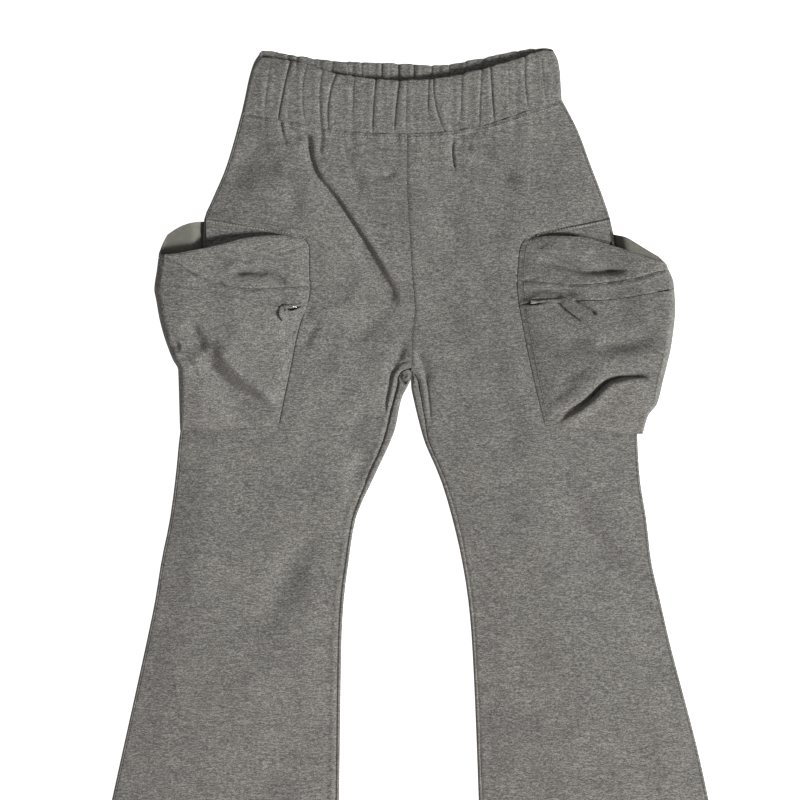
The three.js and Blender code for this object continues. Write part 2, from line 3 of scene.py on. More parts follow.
import math
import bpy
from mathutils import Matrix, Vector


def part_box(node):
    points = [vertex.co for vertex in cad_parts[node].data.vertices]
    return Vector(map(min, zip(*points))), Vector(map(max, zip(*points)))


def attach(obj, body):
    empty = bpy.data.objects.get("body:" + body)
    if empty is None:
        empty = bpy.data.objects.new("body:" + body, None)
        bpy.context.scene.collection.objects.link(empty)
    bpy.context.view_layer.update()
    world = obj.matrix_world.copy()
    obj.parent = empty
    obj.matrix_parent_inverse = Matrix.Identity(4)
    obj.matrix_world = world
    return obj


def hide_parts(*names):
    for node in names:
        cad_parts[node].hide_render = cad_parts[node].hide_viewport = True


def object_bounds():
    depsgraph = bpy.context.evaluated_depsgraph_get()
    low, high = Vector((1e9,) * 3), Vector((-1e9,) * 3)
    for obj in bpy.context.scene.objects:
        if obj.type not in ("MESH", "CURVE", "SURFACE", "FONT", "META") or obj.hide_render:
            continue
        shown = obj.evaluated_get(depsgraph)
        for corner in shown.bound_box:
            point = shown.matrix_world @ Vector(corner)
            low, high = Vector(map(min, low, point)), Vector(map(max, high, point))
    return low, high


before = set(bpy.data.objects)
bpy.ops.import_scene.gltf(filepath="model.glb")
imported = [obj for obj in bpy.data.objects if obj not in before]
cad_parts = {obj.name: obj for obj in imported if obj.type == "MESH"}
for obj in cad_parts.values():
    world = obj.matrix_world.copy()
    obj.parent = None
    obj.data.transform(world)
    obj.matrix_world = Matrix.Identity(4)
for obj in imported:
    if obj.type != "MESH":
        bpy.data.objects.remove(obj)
CAD_BOX = [list(corner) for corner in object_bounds()]

import bmesh
import bpy
import numpy as np
from collections import namedtuple
from mathutils import Matrix, Vector

bl_info = {
    "name": "Flared Heather Sweatpants",
    "version": (1, 0, 0),
    "blender": (4, 5, 0),
    "location": "View3D > Sidebar > Sweatpants",
    "description": "Builds laid-flat fleece sweatpants with zipped bag pockets",
    "category": "Add Mesh",
}

# ---- sizes of the laid garment, in millimetres ----
# "down" runs from the top of the waist towards the hem, "out" from the middle line to either side
FLEECE = 2.0
BAND_WALL = 3.0
SEAM_GAP = 0.04  # sewn edges nearly touch
OPEN_SEAM = 0.38  # and stand this far apart on the pockets
CENTRE_SEAM = 0.5  # and down the centre front
LAID_HALF = 3.5
BAND_HALF = 4.5
POCKET_LIFT = 2.7
SIDE_ROLL = 3.8  # the side seams lie where the folded edge begins to turn
HEM_DOWN = 1100.0
RISE_FADE = 125.0
ROW_START = 62.0
LIFT_RUN = 30.0
HEM_RIGHT = 384.0
CROTCH_START = 345.0
CROTCH_MIDDLE = 372.0
CROTCH_REACH = 52.0
CROWN = 3.2  # how much fuller the leg is in the middle than along its folded edges
PANEL_FLOOR = 4.3  # the front panel's face never sinks below this
UNGATHERED = 150.0  # so far below the waist seam that its puckers have faded

# where the CAD frame has its origin
SHIFT_X = CAD_BOX[1][0] * 1000 - HEM_RIGHT
SHIFT_DOWN = HEM_DOWN + CAD_BOX[0][1] * 1000

Waist = namedtuple("Waist", "x front_top front_seam back_top back_seam")
WAIST = [
    Waist(-184, 13, 69, 8, 69),
    Waist(-161, 9, 74, 1, 70),
    Waist(-120, 14.6, 82, 7, 72),
    Waist(-78, 27.6, 90, 12.5, 74),
    Waist(-10, 34.6, 93.5, 15, 76),
    Waist(30, 32.4, 92, 17, 75),
    Waist(78, 22.6, 85, 9.5, 69),
    Waist(122, 9.8, 71, 0.6, 63),
    Waist(150, 1, 61, -2, 58),
    Waist(168, 11, 55, 5, 55),
]

BandSide = namedtuple("BandSide", "share left right")
BAND_SIDES = [
    BandSide(0, 165, 159),
    BandSide(0.12, 170, 163),
    BandSide(0.4, 176, 166),
    BandSide(0.7, 180, 167),
    BandSide(1, 184, 168),
]

Hip = namedtuple("Hip", "down left right centre")
HIPS = [
    Hip(62, 184, 168, -2),
    Hip(94, 192, 185.5, -2),
    Hip(127, 201.5, 198.5, -2),
    Hip(165, 216.5, 213.5, -1),
    Hip(187, 225, 221, 0),
    Hip(221, 227, 228, 2),
    Hip(253, 234, 236, 4),
    Hip(285, 239.5, 240, 6.5),
    Hip(319, 245, 244, 3),
    Hip(340, 247, 246.5, 3),
]

LEG_ROLL = 4.2  # how far the back panel comes round the inside edge onto the front
Leg = namedtuple("Leg", "down outer inner turn roll", defaults=(1, LEG_ROLL))
LEFT_LEG = [
    Leg(349, 247.8, -2.85, 0.5, 0.1),
    Leg(352, 248, -2.7, 1, 8.1),
    Leg(355, 248.2, -2.55, 1, 12.2),
    Leg(362, 248.5, -2.0, 1, 14.7),
    Leg(367, 248.6, 0.2, 1, 12.5),
    Leg(385, 249, 8.4, 1, 8.8),
    Leg(417, 250.9, 15.2, 1, 10),
    Leg(429, 252.4, 19.6, 1, 9),
    Leg(473, 257, 40, 1, 7),
    Leg(517, 263, 59),
    Leg(561, 272, 66),
    Leg(605, 279, 71.5),
    Leg(649, 288, 74),
    Leg(781, 317, 76),
    Leg(940, 352, 78),
    Leg(HEM_DOWN, 388, 80),
]
RIGHT_LEG = [
    Leg(349, 247.2, 2.92, 0.5, 0.1),
    Leg(354, 247.7, 2.7, 1, 1.0),
    Leg(358, 248.1, 2.5, 1, 4.6),
    Leg(363, 248.5, 2.1, 1, 8.3),
    Leg(370, 248.9, 2.3, 1, 9.3),
    Leg(385, 249.5, 5.2, 1, 9.1),
    Leg(407, 250.5, 10.4, 1, 7.8),
    Leg(429, 251, 16.5, 1, 5.5),
    Leg(473, 254, 35, 1, 5.5),
    Leg(517, 261, 48, 1, 6),
    Leg(561, 266, 58, 1, 5),
    Leg(605, 276, 65),
    Leg(649, 286, 69),
    Leg(781, 320, 75),
    Leg(940, 352, 80),
    Leg(HEM_DOWN, 384, 84),
]

Edge = namedtuple("Edge", "down out")
# where each front has its sharpest creases, and so its closest columns
LEFT_CROWD = [
    Edge(62, 112), Edge(104, 110), Edge(133, 102), Edge(150, 90), Edge(175, 72), Edge(198, 57),
    Edge(229, 38), Edge(253, 27), Edge(281, 13), Edge(330, 14), Edge(360, 22), Edge(400, 26),
    Edge(440, 36),
]
RIGHT_CROWD = [
    Edge(62, 49), Edge(136, 50), Edge(200, 40), Edge(330, 13), Edge(362, 18), Edge(400, 22), Edge(440, 34),
]
LEFT_FRONT_EDGE = [
    Edge(183, 128), Edge(202, 124), Edge(209, 115.5), Edge(221, 110),
    Edge(272, 110), Edge(308, 122), Edge(352, 131), Edge(420, 145),
]
RIGHT_FRONT_EDGE = [
    Edge(186, 140), Edge(201, 136), Edge(211, 126.5), Edge(220, 122),
    Edge(256, 119), Edge(285, 122), Edge(348, 134), Edge(424, 152),
]
LEFT_OUTER_FOLD = [
    Edge(190, 270), Edge(203, 271), Edge(220, 273), Edge(242, 276), Edge(264, 279),
    Edge(275, 277), Edge(297, 273), Edge(319, 267), Edge(341, 258.5), Edge(352, 252.8),
    Edge(420, 251.4),
]
RIGHT_OUTER_FOLD = [
    Edge(205, 277), Edge(218, 278), Edge(234, 281), Edge(258, 290), Edge(284, 291.5),
    Edge(320, 288), Edge(365, 278), Edge(389, 272), Edge(403, 262), Edge(424, 256.5),
]

# height down of each pocket edge or seam, at stations round the bag
Station = namedtuple("Station", "at mouth seam zip foot")
LEFT_STATIONS = [
    Station(0, 209, 260, 282, 413), Station(0.4, 204.6, 262, 283, 414),
    Station(1.1, 208, 263.5, 276, 416), Station(1.6, 214.5, 258, 270, 417),
    Station(2.1, 221, 247, 264, 418), Station(2.67, 226, 230, 260, 418.5),
    Station(3, 224, 229.5, 259, 418.5), Station(3.33, 203.5, 229, 260, 418),
    Station(3.7, 192.3, 231, 261, 418), Station(4, 189, 233, 262, 418),
    Station(5, 187, 243, 268, 416), Station(6, 200, 250, 272, 413),
]
RIGHT_STATIONS = [
    Station(0, 209, 254, 281, 413), Station(0.4, 205.3, 256, 277.2, 414.5),
    Station(1.1, 206.5, 259, 276.7, 417), Station(1.6, 213.3, 256.5, 275.5, 419),
    Station(2.1, 222, 252, 271.5, 421), Station(2.67, 233.5, 244, 265, 422.5),
    Station(3, 236, 242, 261.5, 422.5), Station(3.33, 227, 242, 262, 422),
    Station(3.7, 214.5, 244, 263.5, 421.5), Station(4, 206, 246, 265, 421),
    Station(5, 196, 250, 269, 418), Station(6, 205, 252, 272, 414),
]
RIM_STATION = 2.67
TURN_STATION = 3.33

Puff = namedtuple("Puff", "down high")
LEFT_PUFF = [
    Puff(205, 15), Puff(232, 17), Puff(262, 20), Puff(300, 24), Puff(335, 24),
    Puff(365, 21), Puff(395, 13), Puff(410, 6), Puff(418, 0),
]
RIGHT_PUFF = [
    Puff(205, 14), Puff(240, 18), Puff(270, 21), Puff(320, 25), Puff(360, 22),
    Puff(390, 14), Puff(408, 6), Puff(422, 0),
]
# how much of that height the bag has across its front, from its sewn edge to its outer fold
Across = namedtuple("Across", "share high")
PUFF_ACROSS = [
    Across(0, 0), Across(0.15, 0.2), Across(0.4, 0.47), Across(0.65, 0.74), Across(0.85, 0.93),
    Across(1, 0.9),
]
FOLD_REACH = 13.0
FOLD_SHARE = 0.26
FACING_TUCK = 9.0
FACING_START = 3.0
FACING_SEWN = 203.0
FACING_SLANT = 18.0
VIEW_WIDE = 0.88  # metres of the floor that the camera sees
VIEW_X, VIEW_DOWN = -9.9, 385.0  # and the middle of its view

# how far each lip of the zip stands back from its line, against the share across the bag's front
Slit = namedtuple("Slit", "share upper lower")
LEFT_SLIT = [Slit(0, 0, 0), Slit(0.034, 0, 0.1), Slit(0.06, -0.5, 2.2), Slit(0.1, -1.2, 4.2),
             Slit(0.14, -0.4, 2.2), Slit(0.172, 0, 0.1), Slit(0.22, 0, 0), Slit(1, 0, 0)]
RIGHT_SLIT = [Slit(0, 0, 0), Slit(0.03, 0.3, 0.4), Slit(0.075, 2.0, 2.2), Slit(0.115, 3.0, 3.0),
              Slit(0.15, 2.4, 1.6), Slit(0.19, 1.6, 1.2), Slit(0.25, 1.2, 1.0), Slit(0.3, 0.7, 0.6),
              Slit(0.36, 0.3, 0.3), Slit(0.5, 0.2, 0.2), Slit(0.72, 0.1, 0.1), Slit(0.9, 0, 0),
              Slit(0.95, 0.4, 0.4), Slit(1, 0.5, 0.5)]
TAPE_WIDE = 18.0
TAPE_DROP = 1.0
TAPE_THICK = 1.0
TAPE_FROM, TAPE_TO = 0.075, 0.95  # shares of the bag's front that the tape runs between
SLIDER_SHARE = 0.098
SLIDER_RISE = 2.6
SLIDER_LONG, SLIDER_WIDE, SLIDER_HIGH = 8.0, 4.0, 2.6
BAIL_RADIUS = 1.7
BAIL_WIRE = 0.42
TOOTH_SIZE = (0.00045, 0.0016, 0.0004)  # half its length, width and height, in metres
TOOTH_STEP = 0.0012
PULL_THICK = 1.8
PULL_START = 2.3  # from the middle of the slider
MOUTH_DOWN = 210.0

# a crease follows (x, down) points. Walking along them, "left" and "right" are how far it reaches on
# either hand as seen from above, "deep" its depth, below zero for a ridge, and "ends" the share of
# its length over which either end fades. Its floor is sharp if "power" is near 1 and round if it is 2.
Crease = namedtuple("Crease", "left right deep power ends path")
FRONT_CREASES = [
    # the long fold from under the waistband to the centre seam: a ridge above a sharp trough
    Crease(1.9, 6.5, 5.0, 1.25, 0.16, [
        (-112, 97), (-110, 104), (-108, 115), (-105, 125), (-98.4, 141), (-90, 151), (-80, 163.4),
        (-72, 175), (-64, 187), (-57, 197.6), (-49.6, 209.5), (-42.6, 221), (-38, 229),
    ]),
    Crease(7.5, 6, 8.0, 2, 0.24, [
        (-57, 208), (-48, 223), (-40, 237), (-32, 251), (-22, 267), (-13, 283),
    ]),
    Crease(7, 3.5, -2.4, 1.6, 0.2, [
        (-106, 112), (-102, 125), (-95, 139), (-76, 162), (-60, 186), (-46, 207), (-32, 229),
        (-20, 249), (-8, 270),
    ]),
    Crease(2.8, 6.5, 4.6, 1.8, 0.3, [
        (-134, 93), (-122, 92.6), (-114, 94), (-110, 99), (-108.4, 108), (-106.6, 118),
    ]),
    Crease(4.4, 5.2, 3.6, 1.8, 0.35, [(-42, 130), (-36, 137.5), (-28, 139), (-20, 137), (-13, 132)]),
    Crease(2.4, 2.4, 1.4, 1.3, 0.3, [(-180, 69), (-170, 72), (-158, 76)]),
    Crease(1.8, 2.2, 3.4, 1.3, 0.22, [(-141, 76), (-139.6, 88), (-136.6, 99), (-133.6, 107)]),
    Crease(1.6, 1.8, 2.6, 1.3, 0.3, [(-95, 78), (-96, 98), (-98, 121)]),
    Crease(1.6, 1.8, 1.8, 1.3, 0.3, [(-72, 96), (-69, 116), (-60, 134)]),
    Crease(5, 6, 1.8, 2, 0.4, [(-60, 128), (-57, 150), (-52, 166)]),
    Crease(3.4, 2.4, 2.8, 1.5, 0.35, [(80, 90), (64, 93), (50, 97)]),
    Crease(1.6, 1.8, 2.6, 1.3, 0.3, [(51, 95), (48, 103), (47.4, 116), (49.6, 130), (51, 138)]),
    Crease(5, 5, 2.4, 1.7, 0.3, [(54, 100), (60, 105), (70, 108)]),
    # where the pockets are sewn down
    Crease(0.7, 0.7, 1.1, 1.3, 0.02, [
        (-130, 202), (-121, 204.6), (-115.4, 208.3), (-111, 214), (-109.5, 222), (-109.5, 247),
        (-109.6, 272), (-121.4, 308), (-130.4, 352), (-143, 412),
    ]),
    Crease(0.6, 0.6, 0.5, 1.3, 0.02, [
        (138, 203), (131, 205.4), (125.6, 210), (121.6, 219), (119.4, 240), (118.6, 258), (121.5, 285),
        (133.5, 348), (149.5, 415),
    ]),
    Crease(2.4, 3.2, -2.0, 1.5, 0.04, [
        (-224, 180.6), (-190, 187), (-160, 192.6), (-127, 198.7), (-115, 203),
    ]),
    # soft troughs and ridges over the hips
    Crease(10, 6.5, 4.6, 2, 0.3, [(66, 120), (80, 126.5), (92, 131.5), (106, 139), (121, 149)]),
    Crease(12, 10, -1.6, 2, 0.35, [(84, 106), (110, 119), (134, 138)]),
    Crease(7, 9, 4.6, 2, 0.35, [(-194, 114), (-170, 121), (-152, 126), (-136, 134)]),
    Crease(8, 8, 2.2, 1.8, 0.4, [(-178, 100), (-162, 106), (-146, 110)]),
    Crease(16, 14, -1.9, 2, 0.4, [(-188, 146), (-160, 152), (-134, 166)]),
    Crease(9, 9, 2.8, 2, 0.4, [(-134, 150), (-126, 168), (-122, 186)]),
    Crease(18, 16, 1.9, 2, 0.4, [(118, 96), (144, 108), (174, 128)]),
    Crease(14, 14, 1.9, 2, 0.4, [(26, 160), (42, 196), (60, 236)]),
    Crease(14, 14, -1.9, 2, 0.4, [(56, 166), (76, 206), (90, 250)]),
    Crease(14, 16, 2.2, 2, 0.4, [(18, 262), (36, 292), (70, 330)]),
    Crease(14, 14, -2.0, 2, 0.4, [(48, 262), (74, 300), (112, 340)]),
    Crease(10, 12, 2.8, 2, 0.4, [(-20, 276), (-40, 300), (-76, 326)]),
    Crease(5, 7, 3.0, 1.8, 0.35, [(-96, 296), (-104, 306), (-111, 318), (-114, 334)]),
    Crease(4, 4, 1.6, 1.8, 0.35, [(-104, 276), (-110, 286), (-113, 298)]),
    Crease(16, 12, -1.9, 2, 0.4, [(-44, 254), (-74, 284), (-100, 300)]),
    Crease(12, 14, -2.0, 2, 0.4, [(-56, 330), (-84, 356), (-110, 398)]),
    # the crotch: a soft valley beside each inside leg seam
    Crease(5, 7, 4.6, 1.8, 0.42, [
        (-4, 312), (-8, 330), (-12, 340), (-16.5, 349), (-20, 360), (-22, 372),
    ]),
    Crease(1.2, 2.2, 2.6, 1.4, 0.2, [
        (-17, 350), (-20, 360), (-21.6, 370), (-23.8, 380), (-25.2, 391), (-25, 404),
    ]),
    Crease(6, 3, 3.4, 1.8, 0.3, [(7, 326), (11, 338), (15, 348), (18, 358), (20, 370)]),
    Crease(1.6, 1.3, 2.2, 1.4, 0.25, [
        (16, 352), (18.6, 362), (20.2, 372), (21.4, 384), (23, 398), (24, 412),
    ]),
    Crease(1.3, 1.3, 2.4, 1.4, 0.3, [(-9.6, 346), (-6, 343.2), (-1, 343.6)]),
    Crease(2.6, 2.6, -1.2, 2, 0.25, [
        (-1, 348), (-8, 348.6), (-13.4, 353), (-16.4, 362), (-18, 374), (-21, 390), (-22.4, 402),
    ]),
    Crease(3, 3, -1.2, 2, 0.25, [(7, 350), (12.4, 358), (15, 368), (17.6, 384), (20, 400)]),
    Crease(12, 10, 2.6, 2, 0.4, [(-38, 384), (-56, 408), (-64, 444)]),
    Crease(12, 14, 2.2, 2, 0.4, [(34, 376), (62, 404), (100, 428)]),
    Crease(16, 16, -2.0, 2, 0.4, [(44, 420), (84, 452), (140, 470)]),
    # the legs
    Crease(11, 11, 5.0, 2, 0.4, [(-40, 436), (-51.7, 456), (-62, 484)]),
    Crease(20, 15, 5.2, 2, 0.4, [(-84, 490), (-100, 519), (-132, 572), (-156, 626), (-184, 648)]),
    Crease(15, 18, 5.0, 2, 0.4, [(150, 470), (171.6, 498), (212, 551), (250.8, 587)]),
    Crease(18, 18, -2.6, 2, 0.4, [(120, 500), (150, 560), (196, 620)]),
    Crease(24, 20, 2.2, 2, 0.4, [(96, 640), (140, 700), (190, 740)]),
    Crease(24, 20, -2.0, 2, 0.4, [(-120, 640), (-170, 700), (-230, 742)]),
    Crease(22, 18, 1.2, 2, 0.4, [(-100, 760), (-150, 800), (-230, 826)]),
    Crease(22, 18, 1.4, 2, 0.4, [(150, 800), (210, 840), (280, 860)]),
    Crease(20, 16, -1.3, 2, 0.4, [(110, 900), (180, 930), (260, 936)]),
    Crease(22, 18, 1.4, 2, 0.4, [(-120, 900), (-200, 940), (-300, 950)]),
    Crease(20, 16, 1.3, 2, 0.4, [(120, 1000), (200, 1024), (300, 1016)]),
    Crease(20, 16, -1.3, 2, 0.4, [(-130, 1010), (-220, 1034), (-320, 1030)]),
]
CROTCH_CREASES = [
    # the twisted end of the inside leg seams
    Crease(1.2, 1.2, 3.6, 1.5, 0.12, [
        (-6.6, 355.4), (-8.8, 358.4), (-9.2, 361.6), (-7, 364.4), (-3.6, 365.8), (0.6, 364),
    ]),
    Crease(2.2, 2.2, -1.6, 2, 0.2, [(-4.6, 359.4), (-2, 360.4), (2.4, 358.6), (5.6, 362), (7, 368)]),
]
# the fronts lie lower along the mouths of the pockets
MOUTH_DIPS = [
    Crease(5, 7, 3.8, 2, 0.2, [
        (-134, 204.5), (-150, 202.6), (-170, 203.6), (-190, 206.4), (-210, 210), (-228, 215),
        (-244, 219),
    ]),
    Crease(4, 7, 5.0, 2, 0.2, [
        (136, 205), (150, 203.6), (168, 204), (190, 208), (210, 212.6), (230, 218), (244, 222),
    ]),
]
BACK_CREASES = [
    Crease(9, 6, 1.2, 1.5, 0.25, [(104, 96), (92, 128), (70, 168), (40, 212), (12, 262)]),
    Crease(9, 6, 1.0, 1.5, 0.3, [(-70, 92), (-66, 128), (-48, 170)]),
    Crease(12, 8, 1.2, 2, 0.3, [(-24, 300), (-52, 340), (-98, 384)]),
    Crease(12, 8, 1.2, 2, 0.3, [(26, 296), (60, 342), (110, 392)]),
    Crease(16, 12, 1.2, 2, 0.35, [(-90, 470), (-128, 540), (-170, 590)]),
    Crease(16, 12, 1.2, 2, 0.35, [(110, 520), (160, 580), (230, 620)]),
    Crease(18, 14, 1.0, 2, 0.4, [(-110, 700), (-180, 760), (-250, 790)]),
    Crease(18, 14, 1.0, 2, 0.4, [(110, 760), (200, 830), (290, 850)]),
    Crease(18, 14, 1.0, 2, 0.4, [(120, 960), (200, 1000), (310, 1010)]),
    Crease(18, 14, 1.0, 2, 0.4, [(-120, 920), (-210, 970), (-320, 980)]),
]
LEFT_BAG_CREASES = [
    # the pinch between the lip and the seam under it
    Crease(1.5, 3.6, 14.0, 1.4, 0.3, [
        (-197, 245.4), (-190, 244.4), (-180, 243.8), (-170, 243.2), (-160, 244.4), (-153, 247.4),
    ]),
    Crease(2.4, 4.6, 5.0, 1.6, 0.35, [
        (-170, 243), (-160, 243.4), (-148.6, 248), (-140, 253), (-132, 260),
    ]),
    Crease(4, 4, 2.2, 1.8, 0.35, [(-198, 230), (-184, 231.6), (-168, 237)]),
    Crease(9, 7, -3.4, 2, 0.35, [(-206, 238), (-180, 234), (-150, 239)]),
    # the broad valley down to the inner corner
    Crease(7, 9, 7.0, 1.8, 0.35, [(-246, 300), (-236, 308), (-229, 320), (-222, 334)]),
    Crease(8.5, 15, 13.0, 2, 0.2, [
        (-230, 336), (-221, 346), (-207, 361), (-194, 373), (-180, 383), (-167, 392), (-156, 401),
        (-150, 408),
    ]),
    Crease(10, 8, -9.5, 2, 0.24, [
        (-214, 320), (-205, 332), (-192, 347), (-179, 360), (-165, 371), (-152, 382), (-145, 393),
    ]),
    Crease(2.4, 2.0, 2.2, 1.4, 0.3, [(-206, 388), (-192, 392.4), (-178, 401)]),
    Crease(2.0, 1.8, 2.4, 1.4, 0.25, [(-172, 398.6), (-160, 403), (-153, 409), (-148, 415)]),
    Crease(2.4, 2.0, 2.0, 1.4, 0.3, [(-180, 403.4), (-170, 406.4), (-160, 412)]),
    Crease(6, 5, 3.4, 1.8, 0.35, [(-262, 330), (-254, 326), (-248, 324)]),
    Crease(3.0, 3, 2.0, 1.4, 0.3, [
        (-256, 350), (-250, 341.5), (-242, 340), (-236, 350), (-230, 362), (-225, 374),
    ]),
    Crease(3, 3, 1.6, 1.8, 0.3, [(-246, 300), (-245, 310), (-242, 318)]),
    Crease(12, 12, -2.4, 2, 0.35, [(-200, 286), (-180, 318), (-162, 348)]),
    Crease(8, 8, 2.2, 2, 0.35, [(-124, 300), (-134, 312), (-142, 328)]),
    Crease(4, 4, 2.2, 1.6, 0.3, [(-160, 268), (-146, 266), (-132, 267), (-118, 270)]),
    Crease(1.8, 1.8, 1.8, 1.4, 0.2, [(-113.8, 215), (-130, 220.6), (-150, 227)]),
    # the double line of the seam's outer end
    Crease(1.6, 1.6, 1.8, 1.4, 0.2, [(-268, 232), (-256, 238), (-244, 243.6), (-230, 249)]),
]
RIGHT_BAG_CREASES = [
    # the fold below the lip
    Crease(1.8, 4.2, 13.0, 1.4, 0.24, [
        (146, 233), (158, 233), (168, 235.4), (178, 239), (188, 242), (200, 243.4), (216, 243),
        (240, 243.6),
    ]),
    Crease(6, 4, 2.4, 1.8, 0.35, [(138, 233), (150, 234), (166, 238)]),
    Crease(8, 7, -3.0, 2, 0.3, [(142, 222), (160, 219), (184, 223), (206, 229)]),
    # above the zip
    Crease(2.2, 4.6, 4.4, 1.7, 0.22, [
        (119, 268), (128, 265), (145, 263.6), (160, 264.4), (174, 267), (188, 270),
    ]),
    Crease(1.3, 2.0, 2.6, 1.3, 0.3, [
        (121, 262), (122.2, 257.6), (126.4, 253.6), (134, 252), (142, 254),
    ]),
    # the deep fold at the foot
    Crease(3.1, 1.8, 13.0, 1.4, 0.14, [
        (156, 413), (162, 407.4), (172, 400.6), (180, 396), (190, 389.6), (200, 381), (210, 370.8),
        (218, 364.4), (228, 361), (240, 359.2), (252, 359), (264, 361),
    ]),
    Crease(1.6, 1.6, 2.4, 1.4, 0.3, [(152, 408), (160, 402), (170, 397)]),
    Crease(8, 5, -4.0, 2, 0.25, [
        (166, 413), (184, 402), (204, 388), (220, 372), (240, 366), (262, 368),
    ]),
    Crease(14, 10, -2.6, 2, 0.35, [
        (150, 396), (168, 386), (186, 374), (204, 357), (222, 348), (248, 346),
    ]),
    Crease(12, 10, 7.0, 2, 0.35, [(196, 322), (220, 324), (248, 321), (276, 316)]),
    Crease(7, 8, 2.6, 2, 0.35, [(160, 318), (184, 318), (214, 314)]),
    Crease(10, 10, -2.4, 2, 0.35, [(150, 344), (180, 342), (216, 338), (256, 334)]),
    Crease(5, 5, 1.2, 1.8, 0.35, [(160, 366), (178, 360), (198, 350)]),
    Crease(5, 5, 1.8, 1.8, 0.35, [(148, 388), (164, 380), (184, 366)]),
    Crease(1.8, 1.8, 1.8, 1.4, 0.2, [(129.6, 210.4), (136, 215.4), (147.3, 219.6)]),
    # beside the pull
    Crease(1.7, 1.7, 4.4, 1.4, 0.16, [
        (179, 274.6), (184, 279), (189, 282), (195, 285.4), (201, 289.2), (205, 292.6),
    ]),
]

# gathers that the elastic pulls in the waistband: where each crosses its top, middle and foot, the
# shares of the height it runs between and its depth
Gather = namedtuple("Gather", "top middle foot start end deep")
FRONT_GATHERS = [
    Gather(-130.2, -137.9, -143.9, 0, 1, 2.6), Gather(-123.6, -124, -124.4, 0, 0.1, 1.5),
    Gather(-112, -117.2, -113.3, 0, 0.95, 1.3), Gather(-95, -98.5, -95.5, 0, 1, 1.0),
    Gather(-80.4, -88.4, -88.6, 0, 1, 2.2), Gather(-36.7, -39.2, -40.4, 0, 0.95, 2.0),
    Gather(-10.8, -14.4, -16.6, 0, 0.92, 2.6), Gather(-2.7, -3.3, -4, 0.1, 0.9, 0.9),
    Gather(21.6, 20.6, 22.6, 0, 0.6, 1.7), Gather(26.6, 29, 39.6, 0, 1, 2.5),
    Gather(57.8, 56.9, 56.3, 0.05, 0.75, 1.3), Gather(79.5, 77.7, 77, 0, 1, 1.9),
    Gather(89, 91, 93.4, 0, 0.95, 2.5), Gather(127, 127.2, 131.2, 0, 0.95, 1.9),
    Gather(-60, -62, -62, 0.05, 0.6, 1.0), Gather(108, 109, 110, 0.05, 0.7, 1.0),
    Gather(-152, -156, -160, 0.2, 0.9, 1.0), Gather(144, 147, 150, 0.2, 0.9, 1.0),
]
BACK_GATHERS = [
    Gather(-133, -136, -138, 0, 1, 2.0), Gather(-123, -122, -124, 0, 0.9, 2.2),
    Gather(-104, -103, -104, 0, 0.9, 1.8), Gather(-84, -86, -88, 0, 0.8, 2.2),
    Gather(-68, -66, -66, 0, 1, 1.8), Gather(-52, -53, -55, 0, 0.8, 2.0),
    Gather(-30, -30, -28, 0, 0.9, 2.0), Gather(-12, -11, -11, 0, 0.8, 1.6),
    Gather(5, 6, 7, 0, 1, 2.2), Gather(25, 24, 22, 0, 0.9, 1.9), Gather(44, 45, 47, 0, 0.9, 2.2),
    Gather(62, 63, 62, 0, 0.8, 1.8), Gather(82, 80, 79, 0, 1, 2.1), Gather(99, 100, 102, 0, 0.8, 1.8),
    Gather(120, 121, 120, 0, 0.9, 2.0), Gather(139, 140, 141, 0, 0.8, 1.6),
]

Side = namedtuple("Side", "name sign leg front_edge outer_fold stations puff slit creases pull crowd rear")
PullSpot = namedtuple("PullSpot", "along drop wide rise")
LEFT_PULL = [PullSpot(0, 0, 2, 0), PullSpot(4.4, 0.6, 4, 0.6), PullSpot(8, 3.6, 8, 0.6),
             PullSpot(7.6, 8.4, 9, 0.5), PullSpot(4, 14.5, 8, 0.5)]
RIGHT_PULL = [PullSpot(0, 0, 2, 0), PullSpot(14, -1.2, 3, 0.4), PullSpot(26, -1.4, 5, 0.8),
              PullSpot(32, 0.2, 11, 1.8), PullSpot(44, 8.8, 12.8, 2.4), PullSpot(56.6, 17.6, 13.6, 2.8)]
LEFT = Side("left", -1, LEFT_LEG, LEFT_FRONT_EDGE, LEFT_OUTER_FOLD, LEFT_STATIONS, LEFT_PUFF,
            LEFT_SLIT, LEFT_BAG_CREASES, LEFT_PULL, LEFT_CROWD, 13.0)
RIGHT = Side("right", 1, RIGHT_LEG, RIGHT_FRONT_EDGE, RIGHT_OUTER_FOLD, RIGHT_STATIONS, RIGHT_PUFF,
             RIGHT_SLIT, RIGHT_BAG_CREASES, RIGHT_PULL, RIGHT_CROWD, 19.0)
SIDES = (LEFT, RIGHT)


# ---- reading tables ----
def smooth(value):
    """0 below 0, 1 above 1, and an even slope between."""
    t = np.clip(value, 0.0, 1.0)
    return t * t * (3 - 2 * t)


def read(table, key, column, at):
    """A table's column at any value of its key, on a curve through the rows that never overshoots."""
    xs = np.array([float(getattr(row, key)) for row in table])
    ys = np.array([float(getattr(row, column)) for row in table])
    at = np.clip(np.asarray(at, dtype=float), xs[0], xs[-1])
    run = np.diff(xs)
    rate = np.diff(ys) / run
    slope = np.zeros(len(xs))
    slope[0], slope[-1] = rate[0], rate[-1]
    product = rate[:-1] * rate[1:]
    same = product > 0
    total = np.where(same, rate[:-1] + rate[1:], 1.0)
    slope[1:-1] = np.where(same, 2 * product / total, 0.0)
    i = np.clip(np.searchsorted(xs, at, side="right") - 1, 0, len(xs) - 2)
    t = (at - xs[i]) / run[i]
    a, b = ys[i], ys[i + 1]
    return (
        a * (1 + 2 * t) * (1 - t) ** 2
        + slope[i] * run[i] * t * (1 - t) ** 2
        + b * t * t * (3 - 2 * t)
        - slope[i + 1] * run[i] * t * t * (1 - t)
    )


